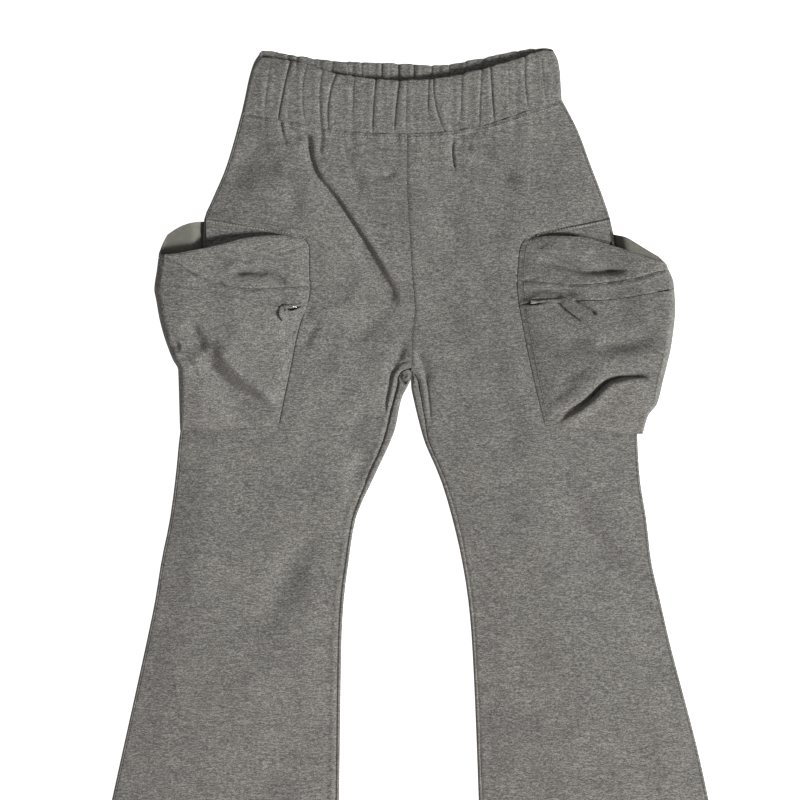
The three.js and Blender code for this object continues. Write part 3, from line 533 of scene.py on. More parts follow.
def finer(path, step=4.0):
    """The same line with rounded corners and a point about every step."""
    points = [np.array(p, dtype=float) for p in path]
    ends = [2 * points[0] - points[1], *points, 2 * points[-1] - points[-2]]
    out = []
    for i in range(1, len(ends) - 2):
        a, b, c, d = ends[i - 1 : i + 3]
        count = max(2, int(np.linalg.norm(c - b) / step))
        for k in range(count):
            t = k / count
            out.append(
                0.5 * (2 * b + (c - a) * t + (2 * a - 5 * b + 4 * c - d) * t * t
                       + (3 * b - a - 3 * c + d) * t ** 3)
            )
    out.append(points[-1])
    return np.array(out)


def relief(creases, x, down):
    """The height that a list of creases adds at points of the cloth."""
    total = np.zeros_like(x)
    for crease in creases:
        line = finer(crease.path)
        reach = 3.2 * max(crease.left, crease.right)
        low, high = line.min(axis=0) - reach, line.max(axis=0) + reach
        near = (x > low[0]) & (x < high[0]) & (down > low[1]) & (down < high[1])
        if not near.any():
            continue
        px, py = x[near], down[near]
        best = np.full(px.shape, 1e9)
        along = np.zeros_like(px)
        hand = np.ones_like(px)
        lengths = np.hypot(*np.diff(line, axis=0).T)
        starts = np.concatenate([[0], np.cumsum(lengths)])
        for k in range(len(lengths)):
            ax, ay = line[k]
            dx, dy = line[k + 1] - line[k]
            t = np.clip(((px - ax) * dx + (py - ay) * dy) / lengths[k] ** 2, 0, 1)
            qx, qy = px - ax - t * dx, py - ay - t * dy
            far = np.hypot(qx, qy)
            closer = far < best
            best = np.where(closer, far, best)
            along = np.where(closer, (starts[k] + t * lengths[k]) / starts[-1], along)
            hand = np.where(closer, np.sign(dy * (px - ax) - dx * (py - ay)), hand)
        wide = np.where(hand > 0, crease.left, crease.right)
        fade = smooth(np.minimum(along, 1 - along) / crease.ends)
        total[near] -= crease.deep * np.exp(-((best / wide) ** crease.power)) * fade
    return total


def swells(x, down, size, seed):
    """Slow, uneven swells of the laid cloth."""
    rng = np.random.default_rng(seed)
    total = np.zeros_like(x)
    for wave in (190, 140, 104, 78, 57):
        angle = rng.uniform(0, math.pi)
        phase = rng.uniform(0, 2 * math.pi)
        run = x * math.cos(angle) + down * math.sin(angle)
        total += wave / 190 * np.sin(2 * math.pi * run / wave + phase)
    return size * total / 2.2


def puckers(x, seed):
    """Uneven ripples across the width, as gathered cloth has."""
    rng = np.random.default_rng(seed)
    total = np.zeros_like(x)
    for wave in (31, 22.5, 16.4, 11.8, 8.6):
        total += math.sqrt(wave / 31) * np.sin(2 * math.pi * x / wave + rng.uniform(0, 2 * math.pi))
    return total / 2.5


def groove(away, wide, deep):
    return -deep * np.exp(-((away / wide) ** 2))


def kept_above(value, least, bend):
    """The value, never below the least, with a rounded bend where they meet."""
    over = value - least
    return least + 0.5 * (over + np.sqrt(over**2 + bend))


def near_crotch(row):
    return np.exp(-(((row - CROTCH_MIDDLE) / CROTCH_REACH) ** 2))


# ---- the laid tube ----
def lift(side, out, down):
    """How far the legs are raised by the pocket backs beneath them."""
    edge = read(side.front_edge, "down", "out", down)
    across = smooth((out - (edge - LIFT_RUN - 14)) / LIFT_RUN)
    into = smooth((down - 132) / LIFT_RUN)
    out_of = smooth((down - 430) / LIFT_RUN)
    return POCKET_LIFT * across * into * (1 - out_of)


def half_rows(side, gap=SEAM_GAP):
    hips = [
        Leg(row.down, getattr(row, side.name), side.sign * row.centre + gap / 2, 0, 0)
        for row in HIPS
    ]
    return hips + side.leg


def row_down(side, row, out, front):
    """Height down of a row: it follows the waist seam at the top and straightens out below."""
    x = side.sign * out
    fade = np.clip(1 - (row - ROW_START) / RISE_FADE, 0, 1)
    seam = read(WAIST, "x", "front_seam", x) * front + read(WAIST, "x", "back_seam", x) * (1 - front)
    return row + (seam - ROW_START) * fade + SEAM_GAP / 2 * (row < ROW_START + 0.01)


def crown(row, out, inner, outer):
    """The leg is a little fuller in the middle than along its folded edges."""
    sides = smooth((outer - out) / 46)
    inside = smooth((out - inner) / 46)
    leg = smooth((row - 326) / 60)
    return CROWN * sides * (inside * leg + (1 - leg))


# share of a panel's rows above each height down
Spread = namedtuple("Spread", "share down")
FRONT_ROWS = [
    Spread(0, ROW_START), Spread(0.48, 330), Spread(0.62, 374), Spread(0.76, 440),
    Spread(1, HEM_DOWN),
]
BACK_ROWS = [
    Spread(0, ROW_START), Spread(0.2, 330), Spread(0.26, 345), Spread(0.6, 372), Spread(0.76, 440),
    Spread(1, HEM_DOWN),
]


def nominal_row(v, rows):
    """Rows lie closest together at the crotch and widest down the legs."""
    return np.interp(v, [row.share for row in rows], [row.down for row in rows])


EDGE_COLUMNS = (0.58, 0.65)  # shares of a front's columns on either side of its pocket's front edge


def crowded(w, focus):
    """Shares from 0 to 1 that lie about three times closer together beside one of them."""
    reach, pull = 0.1, 0.72
    middle = focus * (1 - 2 * pull * reach) + pull * reach
    bent = [t - pull * reach * np.tanh((t - middle) / reach) for t in (w, 0.0, 1.0)]
    return (bent[0] - bent[1]) / (bent[2] - bent[1])


def column_out(side, u, row, start, edge, end):
    """Columns lie closer together along the sharpest creases and along the pocket's sewn edge."""
    near, far = EDGE_COLUMNS
    before, after = 1.9, 0.5  # millimetres on either side of the edge
    span = edge - before - start
    focus = np.clip((read(side.crowd, "down", "out", row) - start) / span, 0.04, 0.96)
    inner = start + span * crowded(np.clip(u / near, 0, 1), focus)
    middle = edge - before + (before + after) * (u - near) / (far - near)
    outer = edge + after + (end - edge - after) * (u - far) / (1 - far)
    return np.where(u < near, inner, np.where(u < far, middle, outer))


def front_face(side, row, out, down, below):
    """Height of the front panel's outer face, without its seams."""
    rows = half_rows(side)
    outer = read(rows, "down", "outer", row)
    inner = read(rows, "down", "inner", row)
    x = side.sign * out
    from_side = smooth((outer - out) / 40)
    z = 2 * LAID_HALF + lift(side, out, down) + crown(row, out, inner, outer)
    z += relief(FRONT_CREASES, x, down) * smooth((outer - out) / 14)
    z += swells(x, down, 1.3, 4) * from_side * smooth(below / 60)
    z += puckers(x, 11) * 1.1 * np.exp(-below / 24) * from_side
    return kept_above(z, PANEL_FLOOR, 0.5)


def uneven(x, seed):
    """A strength from 0.2 to 1 that wanders along a seam."""
    return 0.6 + 0.4 * np.clip(puckers(x * 0.8, seed), -1, 1)


def front_shape(side):
    rows = half_rows(side, CENTRE_SEAM)

    def shape(u, v):
        row = nominal_row(v, FRONT_ROWS)
        outer = read(rows, "down", "outer", row)
        inner = read(rows, "down", "inner", row)
        start = inner + read(rows, "down", "roll", row)
        end = outer - SIDE_ROLL
        out = column_out(side, u, row, start, bag_edge(side, row), end)
        x = side.sign * out
        down = row_down(side, row, out, 1.0)
        below = down - read(WAIST, "x", "front_seam", x)
        z = front_face(side, row, out, down, below) + relief(MOUTH_DIPS, x, down)
        inside_leg = smooth((row - CROTCH_START - 1) / 8)
        crotch = inside_leg * near_crotch(row)
        leg_seam, centre_seam = (0.8, 0) if side is LEFT else (0.6, 1.0)
        seam = leg_seam * inside_leg + centre_seam * (1 - inside_leg)
        z += groove(out - start, 1.2, 1.0) * seam + groove(end - out, 1.4, 0.3)
        z += groove(out - start, 1.7, 3.0 if side is LEFT else 0.3) * crotch
        z -= groove(out - start - 4.5, 2.6, 0.6 if side is LEFT else 0.1) * inside_leg
        z += groove(below, 2.6, 0.8) * uneven(x, 21) - groove(below - 5.5, 2.2, 0.9) * uneven(x, 3)
        z += groove(below - 9.5, 1.8, 0.5) * uneven(x, 8)
        z += hem_relief(down)
        return x, down, z

    return shape


def hem_relief(down):
    """The turned hem: a little thicker below its two rows of stitching."""
    up = HEM_DOWN - down
    return 0.8 * smooth((26 - up) / 2.5) + groove(up - 24, 1.2, 0.6) + groove(up - 18, 1.2, 0.5)


def back_shape(side):
    rows = half_rows(side)

    def shape(u, v):
        row = nominal_row(v, BACK_ROWS)
        outer = read(rows, "down", "outer", row)
        inner = read(rows, "down", "inner", row)
        roll = read(rows, "down", "roll", row)
        turn = np.clip((row - CROTCH_START) / 8, 0, 1)
        out = np.zeros_like(u)
        angle = np.zeros_like(u)
        bend = np.zeros_like(u)
        side_top, side_bend, under, inside_bend = 0.03, 0.17, 0.7, 0.85

        t = np.clip(u / side_top, 0, 1)
        part = u <= side_top
        out[part] = (outer - SIDE_ROLL + SEAM_GAP + (SIDE_ROLL - SEAM_GAP - LAID_HALF) * t)[part]
        angle[part] = 90

        t = np.clip((u - side_top) / (side_bend - side_top), 0, 1)
        part = (u > side_top) & (u <= side_bend)
        out[part] = (outer - LAID_HALF)[part]
        angle[part] = (90 - 180 * t)[part]
        bend[part] = 1

        t = np.clip((u - side_bend) / (under - side_bend), 0, 1)
        part = (u > side_bend) & (u <= under)
        out[part] = (outer - LAID_HALF + (inner + 2 * LAID_HALF - outer) * t)[part]
        angle[part] = -90

        t = np.clip((u - under) / (inside_bend - under), 0, 1)
        part = (u > under) & (u <= inside_bend)
        flat = np.clip(1 - turn / 0.5, 0, 1)
        out[part] = (inner + LAID_HALF - LAID_HALF * 0.97 * t * flat)[part]
        angle[part] = (-90 + 180 * turn * t)[part]
        bend[part] = -1

        t = np.clip((u - inside_bend) / (1 - inside_bend), 0, 1)
        part = u > inside_bend
        top = np.clip((turn - 0.5) / 0.5, 0, 1)
        out[part] = (
            inner + LAID_HALF - LAID_HALF * 0.97 * flat - 0.1 * flat * t
            + (roll - SEAM_GAP - LAID_HALF) * t * top
        )[part]
        angle[part] = (-90 + 180 * turn)[part]
        bend[part] = -1

        radians = np.radians(angle)
        z = LAID_HALF + np.sin(radians) * LAID_HALF
        out = out + bend * np.cos(radians) * LAID_HALF
        front = (np.sin(radians) + 1) / 2
        down = row_down(side, row, out, front)
        x = side.sign * out
        z += lift(side, out, down)
        on_top = front > 0.98
        z += np.where(on_top, groove(out - (outer - SIDE_ROLL), 1.5, 1.0), 0)
        deep = 1.4 + (2.6 if side is LEFT else 1.2) * near_crotch(row)
        sewn = groove(out - (inner + roll), 1.4, deep) + relief(CROTCH_CREASES, x, down)
        z += np.where(on_top & (turn > 0.99), sewn, 0)
        under = front < 0.02
        z += np.where(under, -relief(BACK_CREASES, x, down) * smooth((outer - out) / 30), 0)
        z += hem_relief(down) * np.where(on_top, 1, 0)
        return x, down, z

    return shape


# ---- the waistband ----
def band_edge(share, sign):
    return read(BAND_SIDES, "share", "right" if sign > 0 else "left", share)


def gathered(gathers, x, share):
    """Sharp lines where the elastic gathers the cloth, with fuller cloth on either side."""
    total = np.zeros_like(x)
    for g in gathers:
        middle = (
            g.top * (1 - share) * (1 - 2 * share) + 4 * g.middle * share * (1 - share)
            + g.foot * share * (2 * share - 1)
        )
        length = smooth((share - g.start + 0.12) / 0.12) * smooth((g.end + 0.1 - share) / 0.2)
        away = np.abs(x - middle)
        total -= 0.72 * g.deep * length * np.exp(-((away / 0.9) ** 1.3))
        total += 0.2 * g.deep * length * np.exp(-(((away - 4.2) / 3.4) ** 2))
    return total


def notched(gathers, x):
    """How far the top edge dips at each gather."""
    total = np.zeros_like(x)
    for g in gathers:
        if g.start < 0.12:
            total += 0.35 * g.deep * np.exp(-np.abs(x - g.top) / 1.6)
    return total


BAND_FRONT = 0.5
BAND_FOLD = 0.05
BAND_FACE = 0.5  # share of the rows on the outer face
BAND_TOP = 0.12  # and on the rounded top edge
BAND_GAPE = 5.4  # how far the front edge of the waist stands up from its foot


def band_shape(u, v):
    """u runs round the band from the centre back; v from its outer foot over the top to its inner foot."""
    half = np.abs(u - 0.5) * 2
    sign = np.where(u < 0.5, 1.0, -1.0)
    front_end = 1 - BAND_FRONT - BAND_FOLD
    at_front = half < front_end
    at_fold = ~at_front & (half < 1 - BAND_FRONT + BAND_FOLD)
    turn = np.clip((half - front_end) / (2 * BAND_FOLD), 0, 1)
    angle = np.radians(np.where(at_front, 90, np.where(at_fold, 90 - 180 * turn, -90)))
    reach = np.where(
        at_front, half / front_end, np.where(at_fold, 1.0, (1 - half) / (BAND_FRONT - BAND_FOLD))
    )

    inner_start = BAND_FACE + BAND_TOP
    outside = v < BAND_FACE
    rolling = ~outside & (v < inner_start)
    share = np.where(
        outside, 1 - v / BAND_FACE, np.where(rolling, 0.0, (v - inner_start) / (1 - inner_start))
    )
    theta = np.where(
        outside, 0.0, np.where(rolling, math.pi * (v - BAND_FACE) / BAND_TOP, math.pi)
    )
    roll = BAND_WALL / 2
    near_top = smooth((0.2 - share) / 0.2)
    inset = roll * (1 - np.cos(theta))
    above = roll * (np.sin(theta) - 1) * near_top

    edge = np.where(sign > 0, band_edge(share, 1), band_edge(share, -1))
    middle = sign * HIPS[0].centre
    rim = edge - BAND_HALF
    out = middle + (rim - middle) * reach
    front = (np.sin(angle) + 1) / 2
    x = sign * out
    top = read(WAIST, "x", "front_top", x) * front + read(WAIST, "x", "back_top", x) * (1 - front)
    seam = read(WAIST, "x", "front_seam", x) * front + read(WAIST, "x", "back_seam", x) * (1 - front)
    foot = seam - SEAM_GAP / 2
    down = top + (foot - top) * share - above

    from_fold = smooth((rim - out) / 12)
    full = 1.5 * np.sin(math.pi * np.clip(share, 0, 1)) ** 0.7
    ripple = puckers(x, 11) * 0.7 + puckers(x * 1.7 + 31, 12) * 0.3
    gape = BAND_GAPE * np.exp(-((share / 0.42) ** 2)) * smooth((rim - out) / 60)
    seam_groove = groove((1 - share) * (foot - top), 2.6, 0.8) * uneven(x, 21)
    front_face_rise = (full + 0.45 * ripple + gathered(FRONT_GATHERS, x, share)) * from_fold + seam_groove
    back_face_rise = (ripple + gathered(BACK_GATHERS, x, share)) * from_fold
    facing_in = 0.5 - 0.5 * np.cos(theta)
    raised = front * (gape + front_face_rise * (1 - 0.4 * facing_in))
    raised = raised + (1 - front) * back_face_rise * facing_in
    radius = BAND_HALF - inset
    out = out + np.where(at_fold, np.cos(angle) * radius, 0)
    z = BAND_HALF + np.sin(angle) * radius + raised
    dips = notched(FRONT_GATHERS, x) * front + notched(BACK_GATHERS, x) * (1 - front)
    down = down + (dips - 0.5 * puckers(x + 7, 13)) * near_top * from_fold
    return sign * out, down, z


# ---- the pocket bags ----
def bag_height(side, down, share):
    return read(side.puff, "down", "high", down) * read(PUFF_ACROSS, "share", "high", share)


def over_leg(side, out, down):
    """Height of a pocket piece's outer face where it lies flat on the leg."""
    return front_face(side, down, out, down, np.full_like(down, UNGATHERED)) + SEAM_GAP + FLEECE


def bag_top(side, out, down, share):
    return over_leg(side, out, down) + bag_height(side, down, share)


def bag_edge(side, down):
    return read(side.front_edge, "down", "out", down)


def bag_rim(side, down):
    fold = read(side.outer_fold, "down", "out", down)
    high = 2 * LAID_HALF + lift(side, fold, down) + SEAM_GAP + FLEECE + bag_height(side, down, 1.0)
    return fold - np.minimum(FOLD_REACH, FOLD_SHARE * high)


def share_at(side, out, down):
    edge = bag_edge(side, down)
    return (out - edge) / (bag_rim(side, down) - edge)


def level(side, name, station):
    return read(side.stations, "at", name, station)


LIP_RISE = 3.4
BAG_FRONT = 0.7
BAG_FOLD = 0.12


def bag_path(u):
    """Which part of the bag a column is on: share across the front or back, turn of the fold, station."""
    share = np.where(
        u < BAG_FRONT, u / BAG_FRONT,
        np.where(u < BAG_FRONT + BAG_FOLD, 1.0, (1 - u) / (1 - BAG_FRONT - BAG_FOLD)),
    )
    turn = np.clip((u - BAG_FRONT) / BAG_FOLD, 0, 1)
    station = np.where(
        u < BAG_FRONT, share * RIM_STATION,
        np.where(u < BAG_FRONT + BAG_FOLD, RIM_STATION + turn * (TURN_STATION - RIM_STATION),
                 TURN_STATION + (1 - share) * RIM_STATION),
    )
    return share, turn, station


def rear_height(side, out, down):
    """The back of the bag stands up off the floor beside the leg, where the mouth gapes."""
    leg = read(HIPS, "down", side.name, down)
    return side.rear * smooth((out - leg + 2) / 14) * smooth((262 - down) / 46)


def bag_surface(side, share, turn, down):
    """A point of the bag's outer face."""
    edge = bag_edge(side, down)
    rim = bag_rim(side, down)
    fold = read(side.outer_fold, "down", "out", down)
    out = edge + (rim - edge) * share
    x = side.sign * out
    creased = relief(side.creases, x, down)
    base = over_leg(side, out, down)
    high = bag_height(side, down, share) + creased + swells(x, down, 0.8, 9) * smooth(share / 0.2)
    top = base + kept_above(high, 0.2, 0.6)
    rim_top = bag_top(side, rim, down, 1.0) + relief(side.creases, side.sign * rim, down)
    angle = math.pi * (0.5 - turn)
    folded_out = rim + np.cos(angle) * (fold - rim)
    floor_z = rear_height(side, np.where(turn >= 1, out, rim), down)
    folded_z = floor_z + (rim_top - floor_z) / 2 * (1 + np.sin(angle))
    on_front, on_back = turn <= 0, turn >= 1
    out = np.where(on_front | on_back, out, folded_out)
    z = np.where(on_front, top, np.where(on_back, floor_z, folded_z))
    return side.sign * out, z


def slit_open(side, lip, share, turn):
    return np.where(turn <= 0, read(side.slit, "share", lip, share), 0.0)


def bag_piece(side, above, below):
    def shape(u, v):
        share, turn, station = bag_path(u)
        start = level(side, above, station) + OPEN_SEAM / 2
        end = level(side, below, station) - OPEN_SEAM / 2
        if above == "zip":
            start = start + slit_open(side, "lower", share, turn)
        if below == "zip":
            end = end - slit_open(side, "upper", share, turn)
        down = start + (end - start) * v
        x, z = bag_surface(side, share, turn, down)
        on_front = turn <= 0
        from_top, from_foot = down - start, end - down
        from_edge = share * (bag_rim(side, down) - bag_edge(side, down))
        sewn = groove(from_edge, 7, 1.75) + groove(from_edge - 4.2, 1.2, 0.12)
        near_slider = np.exp(-(((share - 0.1) / 0.13) ** 2))
        side_zip = 0.1 if side is LEFT else 0.8
        if above == "mouth":
            sewn = sewn + groove(from_top, 1.6, 0.8) - groove(from_top, 12, LIP_RISE) * smooth(share / 0.3)
        elif above == "zip":
            sewn = sewn + groove(from_top, 1.4, side_zip) * uneven(x, 5)
            sewn = sewn - groove(from_top - 1.6, 2.0, 1.8) * near_slider
            ribs = np.cos(2 * math.pi * x / 3.4) * np.exp(-(((share - 0.2) / 0.1) ** 2))
            sewn = sewn + 0.22 * ribs * np.exp(-(((from_top - 17) / 9) ** 2))
        else:
            sewn = sewn + groove(from_top, 1.5, 1.4) * uneven(x, 6) - groove(from_top - 4, 2.4, 0.8)
        if below == "foot":
            sewn = sewn + groove(from_foot, 1.2, 0.9) + groove(from_foot - 3.4, 1.2, 0.5)
        elif below == "zip":
            sewn = sewn + groove(from_foot, 1.4, side_zip) * uneven(x, 5)
            sewn = sewn - groove(from_foot - 1.4, 1.8, 1.8) * near_slider
        else:
            sewn = sewn + groove(from_foot, 1.5, 1.4) * uneven(x, 6)
        z = np.where(on_front, z + sewn, z)
        return x, down, z

    return shape


def facing_shape(side):
    start = float(read(side.front_edge, "down", "out", 198)) + FACING_START
    end = float(read(HIPS, "down", side.name, 200)) - LAID_HALF

    def shape(u, v):
        out = start + (end - start) * u
        sewn = FACING_SEWN - FACING_SLANT * u
        lip = level(side, "mouth", share_at(side, out, MOUTH_DOWN) * RIM_STATION) - 2 * SEAM_GAP
        tuck = lip + FACING_TUCK * smooth((u - 0.3) / 0.3)
        down = sewn + (tuck - sewn) * v
        z = over_leg(side, out, down)
        z += relief(MOUTH_DIPS, side.sign * out, down)
        z += groove(down - sewn, 1.3, 1.8) + groove(down - sewn - 4.2, 1.0, 0.8)
        z -= groove(down - sewn - 2.2, 1.2, 0.5)
        z += 1.0 * np.sin(math.pi * np.clip(v, 0, 1)) * smooth(u / 0.3)
        return side.sign * out, down, z

    return shape


def tape_shape(side):
    def shape(u, v):
        share = TAPE_FROM + (TAPE_TO - TAPE_FROM) * u
        down = level(side, "zip", share * RIM_STATION) + (v - 0.5) * TAPE_WIDE
        x, z = bag_surface(side, share, np.zeros_like(share), down)
        return x, down, z - FLEECE - TAPE_DROP

    return shape


def zip_slider_spot(side):
    down = float(level(side, "zip", SLIDER_SHARE * RIM_STATION))
    edge = float(bag_edge(side, down))
    out = edge + (float(bag_rim(side, down)) - edge) * SLIDER_SHARE
    _, lips = bag_surface(side, np.array([SLIDER_SHARE]), np.zeros(1), np.array([down]))
    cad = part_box(f"pocket_{side.name}_zip_slider")[0][2] * 1000
    return out, down, max(cad, float(lips[0]) - FLEECE + SLIDER_RISE)


def pull_shape(side):
    spot_out, spot_down, base = zip_slider_spot(side)
    ats = np.linspace(0, 1, len(side.pull))
    Row = namedtuple("Row", "at along drop wide rise")
    rows = [Row(a, *spot) for a, spot in zip(ats, side.pull)]

    def shape(u, v):
        along = read(rows, "at", "along", v)
        drop = read(rows, "at", "drop", v)
        on, back = np.clip(v + 0.02, 0, 1), np.clip(v - 0.02, 0, 1)
        d_along = read(rows, "at", "along", on) - read(rows, "at", "along", back)
        d_drop = read(rows, "at", "drop", on) - read(rows, "at", "drop", back)
        length = np.maximum(np.hypot(d_along, d_drop), 1e-6)
        across = (u - 0.5) * read(rows, "at", "wide", v)
        out = spot_out + PULL_START + along - across * d_drop / length
        down = spot_down + drop + across * d_along / length
        _, bag = bag_surface(side, share_at(side, out, down), np.zeros_like(out), down)
        z = bag + read(rows, "at", "rise", v) + PULL_THICK
        z = np.maximum(z, base + SLIDER_HIGH + 0.6 + PULL_THICK - 8 * smooth((v - 0.3) / 0.4))
        z += 0.4 * (1 - (2 * u - 1) ** 4) + 1.5 * (1 - u) ** 2 * smooth((v - 0.35) / 0.4)
        return side.sign * out, down, z

    return shape


# ---- materials ----
def linear(value):
    """An sRGB hex colour as the linear red, green, blue and alpha that the nodes take."""
    channels = [int(value[i : i + 2], 16) / 255 for i in (1, 3, 5)]
    return [c / 12.92 if c <= 0.04045 else ((c + 0.055) / 1.055) ** 2.4 for c in channels] + [1.0]


def node(tree, kind, links=(), **settings):
    """Adds one node, sets its properties and sockets, and links other sockets into it."""
    made = tree.nodes.new(kind)
    for key, value in settings.items():
        if hasattr(made, key):
            setattr(made, key, value)
        else:
            made.inputs[key.replace("_", " ")].default_value = value
    for socket, source in links:
        tree.links.new(source, made.inputs[socket])
    return made


def new_material(name, tint):
    material = bpy.data.materials.new(name)
    material.use_nodes = True
    material.diffuse_color = linear(tint)
    tree = material.node_tree
    tree.nodes.clear()
    output = tree.nodes.new("ShaderNodeOutputMaterial")
    shader = tree.nodes.new("ShaderNodeBsdfPrincipled")
    tree.links.new(shader.outputs["BSDF"], output.inputs["Surface"])
    return material, tree, shader


def ramp(tree, source, stops, interpolation="LINEAR"):
    made = tree.nodes.new("ShaderNodeValToRGB")
    made.color_ramp.interpolation = interpolation
    elements = made.color_ramp.elements
    while len(elements) < len(stops):
        elements.new(0.5)
    for element, (at, colour) in zip(elements, stops):
        element.position = at
        element.color = colour
    tree.links.new(source, made.inputs["Fac"])
    return made.outputs["Color"]


def pattern(tree, kind, long, wide, high, **settings):
    """A texture on Object coordinates, whose marks have this size in millimetres."""
    place = node(tree, "ShaderNodeTexCoord").outputs["Object"]
    size = node(tree, "ShaderNodeMapping", [("Vector", place)], Scale=(1000 / long, 1000 / wide, 1000 / high))
    return node(tree, kind, [("Vector", size.outputs[0])], **settings).outputs["Fac"]


def noise(tree, long, wide, high, detail, rough=0.5):
    return pattern(tree, "ShaderNodeTexNoise", long, wide, high, Scale=1.0, Detail=detail, Roughness=rough)


def tint_by(tree, shader, source, stops):
    tree.links.new(ramp(tree, source, stops), shader.inputs["Base Color"])


def bump_by(tree, shader, source, strength, deep):
    bump = node(tree, "ShaderNodeBump", [("Height", source)], Strength=strength, Distance=deep)
    tree.links.new(bump.outputs[0], shader.inputs["Normal"])


def surface(shader, **values):
    for key, value in values.items():
        shader.inputs[key.replace("_", " ")].default_value = value


def weighted(tree, parts):
    """The sum of sockets, each times its weight."""
    total = None
    for source, weight in parts:
        step = node(tree, "ShaderNodeMath", [(0, source)], operation="MULTIPLY_ADD")
        step.inputs[1].default_value = weight
        if total is None:
            step.inputs[2].default_value = 0.0
        else:
            tree.links.new(total, step.inputs[2])
        total = step.outputs[0]
    return total


def heather_fleece(name, dark, mid, light):
    """Cotton and polyester fleece, knitted from grey heather yarn: fibres dyed dark are blended with
    pale ones, so short dashes lie along the courses, and the face is matt with a fine jersey grain."""
    material, tree, shader = new_material(name, mid)
    yarn = weighted(tree, [
        (noise(tree, 3.2, 1.0, 1.0, 2.0, 0.55), 0.42),
        (noise(tree, 10, 1.9, 1.9, 2.0, 0.55), 0.22),
        (noise(tree, 1.3, 0.9, 0.9, 1.0, 0.55), 0.36),
    ])
    colour = ramp(tree, yarn, [(0.4, linear(dark)), (0.5, linear(mid)), (0.6, linear(light))])
    cloudy = noise(tree, 44, 26, 26, 3.0, 0.55)
    tone = ramp(tree, cloudy, [(0.3, (0.9, 0.9, 0.9, 1)), (0.7, (1.09, 1.09, 1.085, 1))])
    mix = node(tree, "ShaderNodeMix", data_type="RGBA", blend_type="MULTIPLY")
    mix.inputs["Factor"].default_value = 1.0
    colour_in, tone_in = [i for i in mix.inputs if i.type == "RGBA"][:2]
    tree.links.new(colour, colour_in)
    tree.links.new(tone, tone_in)
    result = [o for o in mix.outputs if o.type == "RGBA"][0]
    tree.links.new(result, shader.inputs["Base Color"])
    bump_by(tree, shader, yarn, 0.4, 0.0008)
    surface(shader, Roughness=0.95, Specular_IOR_Level=0.2, Sheen_Weight=0.1, Sheen_Roughness=0.5)
    return material


def brushed_inside(name):
    """The brushed wrong side of the fleece: a soft, even nap in one shade, without flecks."""
    material, tree, shader = new_material(name, "#63625b")
    nap = noise(tree, 5, 5, 5, 4.0, 0.7)
    tint_by(tree, shader, nap, [(0.3, linear("#64635d")), (0.7, linear("#74736b"))])
    bump_by(tree, shader, nap, 0.3, 0.0008)
    surface(shader, Roughness=1.0, Specular_IOR_Level=0.15, Sheen_Weight=0.25)
    return material


def spun_thread(name, tint):
    """Spun polyester sewing thread: fine twist, a slight lustre."""
    material, tree, shader = new_material(name, tint)
    twist = noise(tree, 1 / 2.2, 1 / 2.2, 1 / 2.2, 1.0)
    base = linear(tint)
    low = [c * 0.8 for c in base[:3]] + [1]
    high = [min(1, c * 1.2) for c in base[:3]] + [1]
    tint_by(tree, shader, twist, [(0.35, low), (0.65, high)])
    surface(shader, Roughness=0.7)
    return material


def woven_tape(name):
    """Woven polyester zip tape: fine ribs along its length."""
    material, tree, shader = new_material(name, "#3d3c39")
    rib = pattern(tree, "ShaderNodeTexWave", 1.2, 0.8, 1000, Scale=0.32, Distortion=0.4, bands_direction="Y")
    tint_by(tree, shader, rib, [(0.2, linear("#33322f")), (0.8, linear("#474642"))])
    bump_by(tree, shader, rib, 0.4, 0.0003)
    surface(shader, Roughness=0.85)
    return material


def nickel_plate(name):
    """Nickel-plated zinc casting: bright, with fine tumbling marks."""
    material, tree, shader = new_material(name, "#8b8a86")
    mark = noise(tree, 1 / 1.5, 1 / 0.9, 1 / 1.5, 2.0)
    tint_by(tree, shader, mark, [(0.3, linear("#c4c3bf")), (0.7, linear("#dcdbd8"))])
    surface(shader, Metallic=1.0, Roughness=0.28)
    return material


# ---- making pieces ----
def to_frame(x, down, z):
    """Garment millimetres as metres in the CAD frame."""
    return np.stack([(x + SHIFT_X) / 1000, (SHIFT_DOWN - down) / 1000, z / 1000], axis=-1)


def mesh_from(bm, name):
    mesh = bpy.data.meshes.new(name)
    bm.to_mesh(mesh)
    bm.free()
    return mesh


def add_object(mesh, *materials):
    """Puts a mesh in the scene as an object of the same name, at the origin."""
    for material in materials:
        mesh.materials.append(material)
    made = bpy.data.objects.new(mesh.name, mesh)
    bpy.context.scene.collection.objects.link(made)
    return made


def cloth_piece(name, columns, rows, shape, up_at, up, materials, wall):
    """A grid shaped into a cloth piece, given its wall inwards by a Solidify modifier."""
    bm = bmesh.new()
    bmesh.ops.create_grid(bm, x_segments=columns, y_segments=rows, size=0.5)
    for edge in bm.edges:
        edge.smooth = not edge.is_boundary
    mesh = mesh_from(bm, name)
    flat = np.empty(len(mesh.vertices) * 3)
    mesh.vertices.foreach_get("co", flat)
    flat = flat.reshape(-1, 3)
    u = np.clip(flat[:, 0] + 0.5, 0, 1)
    v = np.clip(flat[:, 1] + 0.5, 0, 1)
    centres = np.empty(len(mesh.polygons) * 3)
    mesh.polygons.foreach_get("center", centres)
    centres = centres.reshape(-1, 3) + 0.5
    seen = int(np.argmin((centres[:, 0] - up_at[0]) ** 2 + (centres[:, 1] - up_at[1]) ** 2))
    mesh.vertices.foreach_set("co", to_frame(*shape(u, v)).ravel())
    mesh.update()
    if mesh.polygons[seen].normal.z * up < 0:
        mesh.flip_normals()
    mesh.shade_smooth()
    piece = add_object(mesh, *materials)
    if wall:
        solid = piece.modifiers.new("wall", "SOLIDIFY")
        solid.thickness = wall / 1000
        solid.offset = -1
        solid.material_offset = 1 if len(materials) > 1 else 0
        solid.material_offset_rim = 0
    return piece


